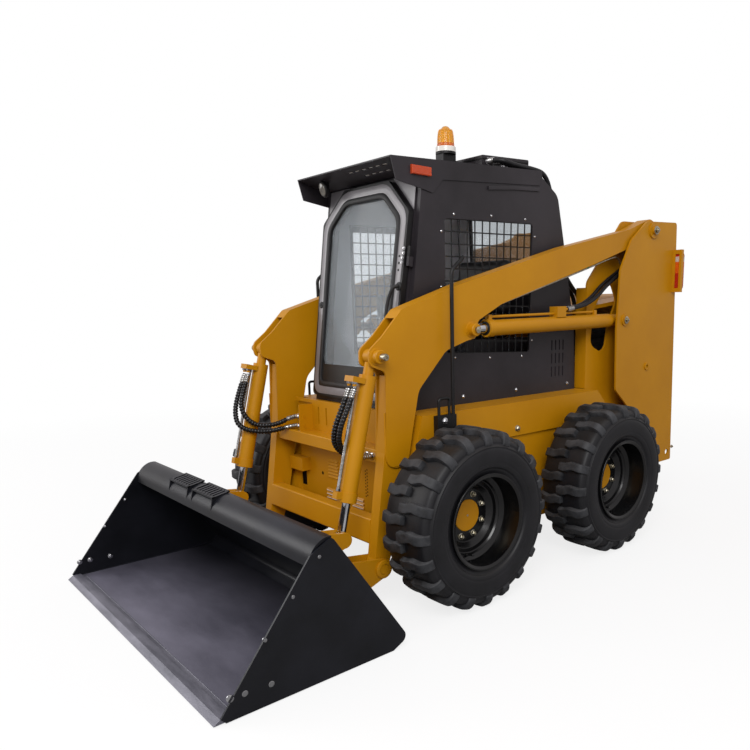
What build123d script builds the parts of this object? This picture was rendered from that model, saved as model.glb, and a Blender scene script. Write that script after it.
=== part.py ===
from build123d import *
import math
import os

os.makedirs("parts", exist_ok=True)

# Skid steer loader, millimetres. Y runs from the bucket (minus) to the engine door (plus), X to the
# machine's left, Z up. While modelling, Y is counted from the front axle and Z from the ground.

# ---- Driving sizes -------------------------------------------------------------------------------
WHEELBASE = 1061
WHEEL_X = 731          # middle plane of a tyre
TYRE_R = 411
LUG_DEPTH = 24
LUGS = 20              # lugs round each shoulder of a tyre
TYRE_W = 300
RIM_SEAT_R = 210       # bead seat of a 16.5 inch rim
RIM_FLANGE_R = RIM_SEAT_R + 12
RIM_WELL_R = RIM_SEAT_R - 24
RIM_HALF_W = 141
HUB_R = 75
SHAFT_R = 45
AXLE_TUBE_R = 66
RUN_GAP = 0.4          # running clearance of a shaft in its bore, per side

ARM_PIVOT = (1771, 1807)       # (Y, Z) of each pivot, at rest
BUCKET_PIN = (-345, 193)
LIFT_BASE = (1494, 1270)
LIFT_EYE = (229, 1246)
TILT_BASE = (-336, 1147)
TILT_EYE = (-532, 368)
ARM_PIN_R = 24
LIFT_PIN_R = 20
TILT_PIN_R = 18

ARM_IN = 446           # inner face of an arm
ARM_W = 80
PLATE = 10             # wall of the arms
CAB_X = 390            # outer face of the cab
CAB_WALL = 30
CAB_REST = 20          # width of the ledge on the side beams that the cab stands on
CAB_SKIN = 8           # wall left around a side window, which the mesh lies behind
BEAM_OUT = 545         # outer face of the beam above the wheels
BEAM_TOP = 866
BEAM_LOW = 690
CASE_OUT = 532         # outer face of a chaincase
CASE_IN = 392
BELLY = 205            # ground clearance
TOWER_IN = 426         # inner face of a tower's inner plate
TOWER_OUT = 548        # outer face of its outer plate
TOWER_WALL = 12
REAR_Y = 2111
TONGUE = 20            # thickness of the tow tongue
TOW_HOLE_R = 12.5
TIE_HOLE_R = 20
BUCKET_HALF_W = 882
EDGE_Y = -1298         # front of the cutting edge
BUMPER_Y = 2140        # rearmost point

ARM_OUT = ARM_IN + ARM_W
ARM_MID = ARM_IN + ARM_W / 2
CENTRE_Y = (EDGE_Y + BUMPER_Y) / 2


# ---- Helpers -------------------------------------------------------------------------------------
def outline(rows):
    """A closed wire from rows of (first, second, corner radius); an arc takes at most 0.45 of a side."""
    corners = []
    for before, (u, v, radius), after in zip(rows[-1:] + rows[:-1], rows, rows[1:] + rows[:1]):
        corner = Vector(u, v)
        to_a = Vector(before[0], before[1]) - corner
        to_b = Vector(after[0], after[1]) - corner
        half = math.radians(to_a.get_angle(to_b)) / 2
        cut = min(radius / math.tan(half), 0.45 * to_a.length, 0.45 * to_b.length)
        if cut < 0.01:
            corners.append((corner,))
            continue
        middle = (to_a.normalized() + to_b.normalized()).normalized()
        reach = cut / math.cos(half) - cut * math.tan(half)
        corners.append((corner + to_a.normalized() * cut, corner + middle * reach,
                        corner + to_b.normalized() * cut))
    edges = [Line(a[-1], b[0]) for a, b in zip(corners, corners[1:] + corners[:1])]
    edges += [ThreePointArc(*c) for c in corners if len(c) == 3]
    return Wire([e for edge in edges for e in edge.edges()])


def plate(rows, x0, x1):
    """The outline pulled along X from x0 to x1."""
    face = Plane(origin=(x0, 0, 0), x_dir=(0, 1, 0), z_dir=(1, 0, 0)) * make_face(outline(rows))
    return extrude(face, x1 - x0)


def bar_x(yz, radius, x0, x1):
    """A round bar along X."""
    return Pos((x0 + x1) / 2, yz[0], yz[1]) * Rot(0, 90, 0) * Cylinder(radius, abs(x1 - x0))


def bar(a, b, radius):
    """A round bar from point a to point b."""
    line = Line(a, b)
    return extrude(Plane(origin=a, z_dir=line % 0) * Circle(radius), line.length)


def block(x0, x1, y0, y1, z0, z1):
    """A box between the given limits."""
    middle = Pos((x0 + x1) / 2, (y0 + y1) / 2, (z0 + z1) / 2)
    return middle * Box(abs(x1 - x0), abs(y1 - y0), abs(z1 - z0))


def both(solid):
    """A piece and its mirror image on the machine's right side."""
    return [solid, mirror(solid, Plane.YZ)]


def knuckles(at, heights, length, radius):
    """Fixed and turning hinge barrels on the line at(z), a pair round each height."""
    fixed = [bar(at(z - length), at(z - 0.5), radius) for z in heights]
    turning = [bar(at(z + 0.5), at(z + length), radius) for z in heights]
    return fixed, turning


def along(a, b, distance):
    """The (Y, Z) point at a distance from a towards b."""
    length = math.dist(a, b)
    return tuple(p + (q - p) * distance / length for p, q in zip(a, b))


def save(name, pieces):
    """Write the pieces, moved from the front axle's frame to the middle of the machine."""
    pieces = pieces if isinstance(pieces, list) else [pieces]
    solids = [s for p in pieces for s in p.solids()]
    export_step(Pos(0, -CENTRE_Y, 0) * Compound(solids), f"parts/{name}.step")


# ---- Wheels --------------------------------------------------------------------------------------
def turned(rows):
    """A ring about the X axis from rows of (X, radius, corner radius)."""
    return revolve(make_face(outline(rows)), Axis.X, 360)


def lugs():
    """Blocks of the tread, in two rows that reach past the middle between one another."""
    half = TYRE_W / 2
    low = TYRE_R - LUG_DEPTH - 14
    shape = [(-12, -20, 0), (20, -26, 0), (66, -12, 0), (104, -16, 0), (half, -20, 0), (half, 20, 0),
             (104, 22, 0), (60, 26, 0), (18, 12, 0), (-12, 14, 0)]
    lug = extrude(Plane.XY.offset(low) * make_face(outline(shape)), TYRE_R - low + 2)
    step = 360 / LUGS
    blocks = [Rot(n * step, 0, 0) * lug for n in range(LUGS)]
    blocks += [Rot((n + 0.5) * step, 0, 0) * Rot(0, 0, 180) * lug for n in range(LUGS)]
    limit = turned([
        (-half + 6, low - 1, 0), (half - 6, low - 1, 0), (half - 16, TYRE_R - 18, 0),
        (half - 40, TYRE_R - 2, 0), (0, TYRE_R, 0), (40 - half, TYRE_R - 2, 0), (16 - half, TYRE_R - 18, 0),
    ])
    return Compound(blocks) & limit


def tyre():
    half = TYRE_W / 2
    bead = half - 26
    base = TYRE_R - LUG_DEPTH
    outer = turned([
        (-bead, RIM_SEAT_R + 0.3, 0), (bead, RIM_SEAT_R + 0.3, 0), (bead, RIM_FLANGE_R + 4, 0),
        (half, 300, 50), (half - 12, 357, 0), (half - 24, base - 8, 0), (half - 60, base, 0),
        (60 - half, base, 0), (24 - half, base - 8, 0), (12 - half, 357, 0), (-half, 300, 50),
        (-bead, RIM_FLANGE_R + 4, 0),
    ])
    inner = turned([
        (-bead + 24, RIM_SEAT_R - 1, 0), (bead - 24, RIM_SEAT_R - 1, 0), (half - 18, 300, 30),
        (half - 46, TYRE_R - 48, 20), (46 - half, TYRE_R - 48, 20), (18 - half, 300, 30),
    ])
    return outer + lugs() - inner


def rim():
    w = RIM_HALF_W
    seat, flange = RIM_SEAT_R, RIM_FLANGE_R
    well = RIM_WELL_R
    disc_r = well - 14
    barrel = turned([
        (-w, flange, 3), (-w + 14, flange, 3), (-w + 16, seat, 0), (-60, seat - 3, 0), (-48, well, 0),
        (20, well, 0), (34, seat - 3, 0), (w - 16, seat, 0), (w - 14, flange, 3), (w, flange, 3),
        (w, flange - 7, 0), (w - 6, seat - 7, 0), (40, seat - 10, 0), (26, well - 6, 0),
        (-54, well - 6, 0), (-66, seat - 10, 0), (-w + 6, seat - 7, 0), (-w, flange - 7, 0),
    ])
    disc = turned([
        (-22, HUB_R + RUN_GAP, 0), (-8, HUB_R + RUN_GAP, 0), (-8, 126, 6), (14, 150, 6), (14, disc_r, 6),
        (24, well - 6, 0), (6, well - 6, 0), (0, disc_r - 12, 0), (-22, 132, 0),
    ])
    return barrel + disc


def hub():
    """The turning part of an axle end, seen from the rim's middle plane."""
    return turned([
        (-186, 0, 0), (-186, SHAFT_R, 0), (-52, SHAFT_R, 0), (-52, 128, 4), (-22, 128, 4),
        (-22, HUB_R, 0), (-3, HUB_R, 4), (-3, 0, 0),
    ])


def wheels():
    tread, wheel_rim, wheel_hub = tyre(), rim(), hub()
    for tag, side, y in [("fl", 1, 0), ("fr", -1, 0), ("rl", 1, WHEELBASE), ("rr", -1, WHEELBASE)]:
        place = Pos(side * WHEEL_X, y, TYRE_R) * Rot(0, 0, 0 if side > 0 else 180)
        save(f"tyre_{tag}", place * tread)
        save(f"rim_{tag}", place * wheel_rim)
        save(f"hub_{tag}", place * wheel_hub)


# ---- Chassis -------------------------------------------------------------------------------------
def axle_housings():
    pieces = []
    inner = CASE_OUT
    outer = WHEEL_X - 56
    for y in (0, WHEELBASE):
        tube = bar_x((y, TYRE_R), AXLE_TUBE_R, inner, outer) + bar_x((y, TYRE_R), 105, inner, inner + 16)
        pieces += both(tube - bar_x((y, TYRE_R), SHAFT_R + RUN_GAP, inner + 8, outer + 1))
    return pieces


def chaincases():
    rows = [
        (-150, BEAM_LOW, 0), (-228, 330, 30), (-228, 235, 30), (-195, BELLY, 30),
        (WHEELBASE + 300, BELLY, 60), (WHEELBASE + 420, 330, 60), (WHEELBASE + 460, BEAM_LOW, 0),
    ]
    return both(plate(rows, CASE_IN, CASE_OUT))


def side_beams():
    rows = [
        (-105, BEAM_TOP, 0), (-150, BEAM_LOW, 0), (1420, BEAM_LOW, 0), (1245, BEAM_TOP, 0),
    ]
    return both(plate(rows, CAB_X - CAB_REST, BEAM_OUT))


TUB_BEND = (1476, BELLY + 10)      # where the floor starts to rise
TUB_END = (REAR_Y - 30, 342)


def floor_top(y):
    """Height of the tub floor's upper face."""
    return TUB_BEND[1] + max(0, y - TUB_BEND[0]) * (TUB_END[1] - TUB_BEND[1]) / (TUB_END[0] - TUB_BEND[0])


def chassis_tub():
    floor = plate([(-190, BELLY, 0), (1480, BELLY, 0), (TUB_END[0], TUB_END[1] - 12, 0), (*TUB_END, 0),
                   (*TUB_BEND, 0), (-190, BELLY + 10, 0)], -CASE_IN, CASE_IN)
    step = block(-CASE_IN, CASE_IN, -190, -110, BEAM_TOP - 12, BEAM_TOP)
    return [floor, step]


def louvre(x0, x1, z, face, height, proud):
    """A pressed hood over a slot; the slot opens downward. Returns the hood and the cut behind it."""
    hood = plate([(face, z + height, 0), (face - proud, z + 2, 0), (face - proud, z, 0), (face, z, 0)], x0, x1)
    cut = plate([(face + 20, z + height - 4, 0), (face - 1, z + height - 4, 0), (face - proud + 2.5, z - 1, 0),
                 (face + 20, z - 1, 0)], x0 + 3, x1 - 3)
    return hood, cut


FRONT_FACE = -198
# (left edge, right edge, lowest louvre, number of louvres, pitch) of each group on the front panel
FRONT_LOUVRES = [
    (-118, -28, 484, 6, 17), (-138, -44, 368, 3, 20), (-24, 70, 368, 3, 20), (98, 192, 368, 3, 20),
]


def front_panel():
    panel = block(-CASE_IN, CASE_IN, FRONT_FACE, FRONT_FACE + 8, BELLY, BEAM_TOP)
    for x0, x1, low, count, pitch in FRONT_LOUVRES:
        for n in range(count):
            hood, cut = louvre(x0, x1, low + n * pitch, FRONT_FACE, pitch - 6, 7)
            panel = panel + hood - cut
    valve_box = block(-436, -306, FRONT_FACE - 48, FRONT_FACE, 488, 560)
    return panel + valve_box


TOWER_OUTER = [
    (1416, 1213, 20), (1437, 1561, 60), (1540, 1738, 80), (1704, 1857, 60), (2051, 1874, 20),
    (REAR_Y, 315, 12), (1560, 315, 40), (1560, 740, 30), (1428, 850, 20),
]
TOWER_INNER = [
    (1262, BEAM_TOP, 0), (1262, 1490, 60), (1600, 1860, 60), (2051, 1874, 20), (REAR_Y, 315, 12),
    (1560, 315, 40), (1560, BEAM_LOW, 0), (1422, BEAM_LOW, 0),
]


ACCESS_HOLE = (1758, 975)
BRACKET_Y = 2020           # front of the tail lamp's bracket
BRACKET_OUT = TOWER_OUT + 62
LAMP_LOW = 1452
LAMP_HIGH = 1690


def lamp_bracket():
    """A slotted channel on the tower's outer face that carries the tail lamp."""
    web = block(TOWER_OUT, BRACKET_OUT, BRACKET_Y, BRACKET_Y + 5, LAMP_LOW - 14, LAMP_HIGH + 14)
    web -= block(TOWER_OUT + 18, BRACKET_OUT - 16, BRACKET_Y - 1, BRACKET_Y + 6, LAMP_LOW + 12, LAMP_HIGH - 12)
    return web + block(BRACKET_OUT - 5, BRACKET_OUT, BRACKET_Y, BRACKET_Y + 26, LAMP_LOW - 14, LAMP_HIGH + 14)


REAR_HINGE_X = TOWER_IN + 10
REAR_HINGE_R = 9
REAR_HINGE_HEIGHTS = (700, 1280)


def rear_hinge(z):
    """A point of the engine door's hinge line, behind the inner plate's rear edge."""
    return (REAR_HINGE_X, REAR_Y + REAR_HINGE_R + 0.5 - (z - 315) * 60 / 1559, z)


def towers():
    inner = plate(TOWER_INNER, TOWER_IN, TOWER_IN + TOWER_WALL)
    slot = [(1303, 1125, 60), (1330, 1330, 120), (1481, 1527, 60), (1563, 1390, 60), (1480, 1230, 80),
            (1450, 1061, 60)]
    inner -= plate(slot, TOWER_IN - 1, TOWER_IN + TOWER_WALL + 1)
    outer = plate(TOWER_OUTER, TOWER_OUT - TOWER_WALL, TOWER_OUT)
    flange = block(CAB_X - 30, TOWER_IN, 1262, 1262 + PLATE, BEAM_TOP, 1460)
    web = plate([(REAR_Y - 22, 560, 0), (REAR_Y - 10, 560, 0), (2052, 1660, 0), (2040, 1660, 0)],
                TOWER_IN + TOWER_WALL, TOWER_OUT - TOWER_WALL)
    outer -= bar_x((2060, 372), TIE_HOLE_R, TOWER_OUT - 40, TOWER_OUT + 1)
    outer += bar_x(ACCESS_HOLE, 24, TOWER_OUT, TOWER_OUT + 8)
    outer -= bar_x(ACCESS_HOLE, 12, TOWER_OUT - 40, TOWER_OUT + 9)
    outer += lamp_bracket()
    foot = block(TOWER_IN + TOWER_WALL, TOWER_OUT - TOWER_WALL, 1560, REAR_Y - 12, 500, 512)
    side = inner + outer + web + foot + flange
    # (centre, boss radius, pin radius, how far the pin stands out)
    for centre, boss, pin, proud in [(ARM_PIVOT, 46, ARM_PIN_R, 26), (LIFT_BASE, 34, LIFT_PIN_R, 16)]:
        side += bar_x(centre, boss, TOWER_OUT, TOWER_OUT + 10)
        side += bar_x(centre, pin, TOWER_IN, TOWER_OUT + proud)
    pieces = both(side)
    for barrel in knuckles(rear_hinge, REAR_HINGE_HEIGHTS, 42, REAR_HINGE_R + 1)[0]:
        pieces[0] += barrel
    return pieces


def engine_block():
    """Engine and pumps as one plain block on two cross feet."""
    engine = block(-260, 260, 1330, 1900, 420, 1010)
    for y0, y1 in ((1370, 1430), (1800, 1860)):
        engine += plate([(y0, floor_top(y0), 0), (y1, floor_top(y1), 0), (y1, 430, 0), (y0, 430, 0)], -200, 200)
    return engine


def engine_hood():
    rows = [(1290, 1330, 0), (1290, 1350, 20), (2010, 1440, 30), (2030, 1420, 0), (2018, 1410, 0)]
    hood = plate(rows, -TOWER_IN, TOWER_IN)
    for x in (-260, 20):
        for row in range(7):
            y = 1480 + 55 * row
            hood -= block(x, x + 240, y, y + 20, 1300, 1460)
    return hood


def rear_bumper():
    """Cross beam between the towers with a tow tongue; its pin hole stands upright."""
    beam = block(-TOWER_IN, TOWER_IN, REAR_Y - 70, BUMPER_Y - 45, 360, 560)
    tongue = block(-60, 60, BUMPER_Y - 60, BUMPER_Y, 440, 440 + TONGUE)
    return beam + tongue - Pos(0, BUMPER_Y - 24, 440) * Cylinder(TOW_HOLE_R, 4 * TONGUE)


# ---- Cab -----------------------------------------------------------------------------------------
DOOR_LOW = (-108, 892)     # two points (Y, Z) of the plane of the door's inner face
DOOR_TOP = (44, 1950)
DOOR_THICK = 28
DOOR_GAP = 5               # between the closed door and its frame
HINGE_X = 372
HINGE_R = 8
HINGE_LENGTH = 45
DOOR_HINGE_HEIGHTS = (180, 700)    # counted along the door


def door_plane():
    """Plane of the door's inner face; its normal points to the front."""
    lean = math.degrees(math.atan2(DOOR_TOP[0] - DOOR_LOW[0], DOOR_TOP[1] - DOOR_LOW[1]))
    return Plane(origin=(0, *DOOR_LOW), x_dir=(1, 0, 0), z_dir=(0, -1, 0)).rotated((-lean, 0, 0))


def door_slab(rows, depth0, depth1):
    """A panel in the door's leaning plane, from rows of (X, height along the door, corner radius)."""
    return extrude(door_plane().offset(depth0) * make_face(outline(rows)), depth1 - depth0)


def door_hinge(height):
    """A point of the front door's hinge line."""
    return tuple(door_plane().from_local_coords(Vector(HINGE_X, height, DOOR_THICK / 2)))


CAB_WINDOW = [(188, 1130, 20), (188, 1770, 20), (828, 1791, 20), (806, 1106, 20)]


def grown(rows, by):
    """The same outline with each corner moved out from the middle by the given distance each way."""
    u, v = (sum(row[n] for row in rows) / len(rows) for n in (0, 1))
    return [(y + math.copysign(by, y - u), z + math.copysign(by, z - v), r) for y, z, r in rows]


def roof_low(y):
    """Height of the roof's under face."""
    return 1990 + (y - 47) * 46 / 853


def cab_sides():
    rows = [
        (-84, BEAM_TOP, 0), (47, 1888, 0), (47, roof_low(47), 0), (900, roof_low(900), 60), (1036, 1955, 80),
        (1093, 1723, 40), (1208, 1216, 30), (1222, BEAM_TOP, 0),
    ]
    side = plate(rows, CAB_X - CAB_WALL, CAB_X)
    side -= plate(CAB_WINDOW, CAB_X - CAB_WALL - 1, CAB_X + 1)
    side -= plate(grown(CAB_WINDOW, 30), CAB_X - CAB_WALL - 1, CAB_X - CAB_SKIN)
    for column in range(4):
        for row in range(3):
            y, z = 1000 + 34 * column, 953 + 76 * row
            side -= block(CAB_X - CAB_WALL - 1, CAB_X + 1, y, y + 9, z, z + 58)
    return both(side)


def roof_top(y):
    """Height of the roof's upper face, which climbs towards the rear."""
    return 2014 + (y - 10) * 52 / 890


def cab_roof():
    rows = [(10, roof_low(10), 0), (10, roof_top(10), 0), (900, roof_top(900), 0), (900, roof_low(900), 0)]
    return plate(rows, -CAB_X, CAB_X)


def visor():
    rows = [(-131, 2010, 0), (-103, 1910, 0), (47, 1888, 0), (114, 1875, 20), (175, 1941, 20),
            (876, 1992, 0), (882, 2067, 0)]
    cheek = both(plate(rows, CAB_X, CAB_X + 6))
    front, back, sheet = (-131, 2010), (34, 1962), 6
    top = plate([(*front, 0), (front[0], front[1] - sheet, 0), (10, 2008, 0), (10, 2014, 0)], -CAB_X, CAB_X)
    soffit = plate([(*front, 0), (front[0], front[1] - sheet, 0), (*back, 0), (back[0], back[1] + sheet, 0)],
                   -CAB_X, CAB_X)
    run = (back[0] - front[0], back[1] - front[1] + sheet)
    for share, x0 in ((0.3, 0), (0.62, 62)):
        y, z = front[0] + share * run[0], front[1] + share * run[1]
        for n in range(6):
            x = x0 + 54 * n
            soffit -= block(x, x + 36, y - 6, y + 6, z - 16, z + 16)
    visor = top + soffit + cheek[0] + cheek[1]
    return visor - block(-CAB_X - 10, CAB_X + 10, 47, 900, 1000, 1870)


def cab_rear_wall():
    inner = CAB_X - CAB_WALL
    wall = plate([(1010, 1240, 0), (1040, 1240, 0), (1000, 1990, 0), (970, 1990, 0)], -inner, inner)
    return wall - block(-260, 260, 900, 1100, 1420, 1880)


def cab_front_frame():
    """Posts, header and sill that the door closes on; its front face is parallel to the door."""
    inner = CAB_X - CAB_WALL
    rise = DOOR_TOP[1] - DOOR_LOW[1]
    lean = (DOOR_TOP[0] - DOOR_LOW[0]) / rise
    y0 = DOOR_LOW[0] + DOOR_GAP + lean * (BEAM_TOP - DOOR_LOW[1])
    y1 = y0 + lean * (1985 - BEAM_TOP)
    rows = [(y0, BEAM_TOP, 0), (y1, 1985, 0), (y1 + 36, 1985, 0), (y0 + 36, BEAM_TOP, 0)]
    opening = [(-300, 40, 0), (300, 40, 0), (308, 880, 0), (190, 1008, 0), (-190, 1008, 0), (-308, 880, 0)]
    frame = plate(rows, -inner, inner) - door_slab(opening, -90, 10)
    for height in DOOR_HINGE_HEIGHTS:
        low = height - HINGE_LENGTH
        leaf = [(inner - 20, low, 0), (HINGE_X + 6, low, 0), (HINGE_X + 6, height - 0.5, 0),
                (inner - 20, height - 0.5, 0)]
        arm = [(HINGE_X - 6, low, 0), (HINGE_X + 6, low, 0), (HINGE_X + 6, height - 0.5, 0),
               (HINGE_X - 6, height - 0.5, 0)]
        frame += door_slab(leaf, -DOOR_GAP - 6, -DOOR_GAP + 0.5) + door_slab(arm, -DOOR_GAP - 6, DOOR_THICK / 2)
    for barrel in knuckles(door_hinge, DOOR_HINGE_HEIGHTS, HINGE_LENGTH, HINGE_R)[0]:
        frame += barrel
    return frame


def rear_glass():
    """Pane in the rear window, held in the wall's opening."""
    return plate([(1008, 1420, 0), (1016, 1420, 0), (992, 1880, 0), (984, 1880, 0)], -260, 260)


def cab_floor():
    inner = CAB_X - CAB_WALL
    floor = block(-inner, inner, -10, 1000, BEAM_TOP - 12, BEAM_TOP)
    seat_box = block(-250, 250, 450, 960, BEAM_TOP, 1180)
    return floor + seat_box


def seat():
    """Soft cushions: the squab and the backrest."""
    squab = fillet(block(-230, 230, 430, 900, 1180.3, 1290).edges(), 30)
    back = fillet((Pos(0, 850, 1541.8) * Rot(-6, 0, 0) * Box(440, 110, 500)).edges(), 30)
    return [squab], [back]


def side_grilles():
    """Flat bar mesh in a border, seated behind the window's edge."""
    x1 = CAB_X - CAB_SKIN
    x0 = x1 - 6
    sheet = plate(grown(CAB_WINDOW, 26), x0, x1)
    pitch, bar_w = 62, 7
    for column in range(10):
        for row in range(11):
            y = 196 + pitch * column
            z = 1116 + pitch * row
            sheet -= block(x0 - 1, x1 + 1, y, y + pitch - bar_w, z, z + pitch - bar_w)
    return both(sheet)


def ac_unit():
    rows = [(600, roof_top(600), 0), (600, 2137, 8), (970, 2158, 8), (970, 2090, 0), (900, roof_top(900), 0)]
    return plate(rows, -280, 230)


def beacon():
    post = plate([(455, roof_top(455), 0), (545, roof_top(545), 0), (545, 2148, 0), (455, 2148, 0)], 30, 90)
    base = Pos(60, 500, 2154) * Cylinder(54, 12)
    profile = [(0, 0, 0), (51, 0, 0), (51, 26, 4), (45, 32, 4), (40, 100, 30), (14, 128, 20), (0, 130, 0)]
    dome = revolve(make_face(outline(profile)), Axis.Y, 360)
    return post + base, Pos(60, 500, 2160) * Rot(90, 0, 0) * dome


def lamps():
    marker = block(CAB_X + 6, CAB_X + 20, -20, 96, 1945, 1984)
    lens = block(TOWER_OUT + 4, BRACKET_OUT - 5, BRACKET_Y + 5, BRACKET_Y + 46, LAMP_LOW, LAMP_HIGH)
    lens = fillet(lens.edges().filter_by(Axis.X).sort_by(Axis.Y)[-2:], 30)
    return both(fillet(marker.faces().sort_by(Axis.X)[-1].edges(), 4)) + both(lens)


def mirror_poles():
    x = BEAM_OUT + 23
    path = FilletPolyline((x, 65, 800), (x, 65, 1515), (x, 140, 1578), radius=[40])
    pole = sweep(Plane(origin=path @ 0, z_dir=path % 0) * Circle(9), path=path)
    hoop = FilletPolyline((x, -24, 840), (x, -24, 938), (x, 40, 938), (x, 40, 840), radius=[14, 14])
    guard = sweep(Plane(origin=hoop @ 0, z_dir=hoop % 0) * Circle(7), path=hoop)
    clamp = block(BEAM_OUT, x + 6, -37, 81, 750, 859)
    return both(pole + guard + clamp)


def controls():
    pieces = []
    for side in (1, -1):
        boot = block(side * 280 - 30, side * 280 + 30, 300, 360, BEAM_TOP, BEAM_TOP + 60)
        pieces.append(boot + bar((side * 280, 330, BEAM_TOP + 30), (side * 290, 300, 1420), 12))
    return pieces


# ---- Doors ---------------------------------------------------------------------------------------
def front_door():
    outer = [(-345, 0, 30), (345, 0, 30), (HINGE_X - 10, 905, 30), (186, 1062, 20), (-186, 1062, 20),
             (10 - HINGE_X, 905, 30)]
    glass = [(-280, 170, 40), (280, 170, 40), (283, 872, 30), (166, 990, 30), (-166, 990, 30),
             (-283, 872, 30)]
    frame = door_slab(outer, 0, DOOR_THICK) - door_slab(glass, -1, DOOR_THICK + 1)
    for height in DOOR_HINGE_HEIGHTS:
        leaf = [(335, height + 0.5, 0), (HINGE_X, height + 0.5, 0), (HINGE_X, height + HINGE_LENGTH, 0),
                (335, height + HINGE_LENGTH, 0)]
        frame += door_slab(leaf, DOOR_THICK / 2 - 4, DOOR_THICK / 2 + 4)
    for barrel in knuckles(door_hinge, DOOR_HINGE_HEIGHTS, HINGE_LENGTH, HINGE_R)[1]:
        frame += barrel
    pane = door_slab(glass, 11, 17)
    return frame, pane


def engine_door():
    rows = [(REAR_Y - 20, 566, 0), (REAR_Y + 10, 566, 12), (REAR_Y - 30, 1440, 12), (REAR_Y - 60, 1440, 0)]
    door = plate(rows, 4 - TOWER_IN, TOWER_IN - 4)
    for x in (-300, -90, 120):
        for row in range(9):
            door -= block(x, x + 180, REAR_Y - 120, REAR_Y + 20, 800 + 50 * row, 822 + 50 * row)
    for z in REAR_HINGE_HEIGHTS:
        x, y, _ = rear_hinge(z + 21)
        door += block(TOWER_IN - 12, x, y - 4, y + 4, z + 0.5, z + 42)
    for barrel in knuckles(rear_hinge, REAR_HINGE_HEIGHTS, 42, REAR_HINGE_R)[1]:
        door += barrel
    return door


# ---- Arms ----------------------------------------------------------------------------------------
ARM_OUTLINE = [
    (1771, 1880, 70), (1544, 1798, 30), (942, 1668, 0), (163, 1460, 0), (-193, 1346, 40),
    (-304, 1231, 40), (-375, 1175, 36), (-375, 1110, 30), (-289, 1078, 30), (-302, 716, 20),
    (-290, 651, 50), (-180, 651, 50), (-150, 790, 0), (-107, 982, 90), (65, 1155, 90),
    (200, 1195, 20), (265, 1206, 30), (273, 1287, 30), (443, 1368, 60), (1215, 1589, 0),
    (1640, 1720, 30), (1840, 1760, 60), (1840, 1850, 50),
]
ARM_HOLLOW = [
    (1500, 1778, 30), (942, 1657, 0), (163, 1449, 0), (-188, 1336, 40), (-420, 1180, 0),
    (-420, 560, 0), (-176, 560, 0), (-162, 790, 0), (-118, 985, 90), (60, 1166, 90), (186, 1203, 20),
    (186, 1150, 0), (300, 1150, 0), (284, 1282, 20), (448, 1379, 60), (1215, 1600, 0), (1500, 1686, 0),
]
LEG_OUTLINE = [
    (-280, 1060, 0), (-303, 716, 0), (-372, 240, 30), (-395, 193, 40), (-345, 143, 40),
    (-300, 193, 40), (-262, 300, 60), (-180, 690, 0), (-196, 1060, 0),
]


def arm_booms():
    boom = plate(ARM_OUTLINE, ARM_IN, ARM_OUT)
    boom -= plate(ARM_HOLLOW, ARM_IN + PLATE, ARM_OUT - PLATE)
    boom += bar_x(ARM_PIVOT, 60, ARM_IN - 4, ARM_OUT + 6)
    boom -= bar_x(ARM_PIVOT, ARM_PIN_R + RUN_GAP, ARM_IN - 20, ARM_OUT + 20)
    for centre, boss, pin in [(LIFT_EYE, 34, LIFT_PIN_R), (TILT_BASE, 34, TILT_PIN_R)]:
        boom += bar_x(centre, boss, ARM_OUT, ARM_OUT + 8)
        boom += bar_x(centre, pin, ARM_OUT, ARM_OUT + 40)
    boom += bar_x(TILT_BASE, TILT_PIN_R, ARM_IN, ARM_OUT)
    return both(boom)


def arm_legs():
    leg = plate(LEG_OUTLINE, ARM_IN + PLATE, ARM_OUT - PLATE)
    leg -= bar_x(BUCKET_PIN, 22 + RUN_GAP, ARM_IN, ARM_OUT)
    return both(leg)


def lower_crossmember():
    inner = ARM_IN + PLATE
    return plate([(-350, 410, 8), (-366, 295, 8), (-300, 295, 8), (-285, 410, 8)], -inner, inner)


HOSE_ENDS = (384, 420)     # X of the fittings on the shelf's lip that the left tilt hoses end in


def shelf():
    inner = ARM_IN
    ledge = plate([(-295, 722, 6), (-298, 660, 6), (-288, 660, 0), (-285, 712, 0), (-205, 712, 0),
                   (-205, 722, 0)], -inner, inner)
    bulkhead = block(-230, inner, -213, -205, 722, 884) + block(-400, -229, -213, -205, 866, 884)
    bulkhead += block(-238, -230, -290, -205, 722, 862)
    for x in (-170, -95):
        bulkhead -= block(x - 6, x + 6, -214, -204, 760, 850)
    for z in (752, 802):
        bulkhead += bar((-231, -250, z), (-285, -262, z - 6), 17)
    for x in HOSE_ENDS:
        bulkhead += bar((x, -296, 692), (x, -306, 692), 15)
    return ledge + bulkhead


# ---- Cylinders -----------------------------------------------------------------------------------
def cylinder(base, eye, pin_r, barrel_from, barrel_to, barrel_r, rod_r, eye_r, eye_w, rod_in):
    """Barrel and rod between two (Y, Z) pins in the arm's middle plane."""
    x = ARM_MID
    start, end = along(base, eye, barrel_from), along(base, eye, barrel_to)
    rod_start = along(base, eye, rod_in)
    length = math.dist(base, eye)
    barrel = bar((x, *start), (x, *end), barrel_r)
    barrel += bar((x, *along(base, eye, barrel_to - 44)), (x, *end), barrel_r + 4)
    neck = along(base, eye, eye_r - 4)
    barrel += bar((x, *neck), (x, *start), barrel_r * 0.62)
    barrel += bar_x(base, eye_r, x - eye_w / 2, x + eye_w / 2)
    barrel -= bar_x(base, pin_r + RUN_GAP, x - eye_w, x + eye_w)
    barrel -= bar((x, *along(base, eye, barrel_from + 30)), (x, *along(base, eye, barrel_to + 1)),
                  rod_r + RUN_GAP)
    rod = bar((x, *rod_start), (x, *along(base, eye, length - eye_r + 4)), rod_r)
    rod += bar_x(eye, eye_r, x - eye_w / 2, x + eye_w / 2)
    rod -= bar_x(eye, pin_r + RUN_GAP, x - eye_w, x + eye_w)
    return barrel, rod


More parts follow.
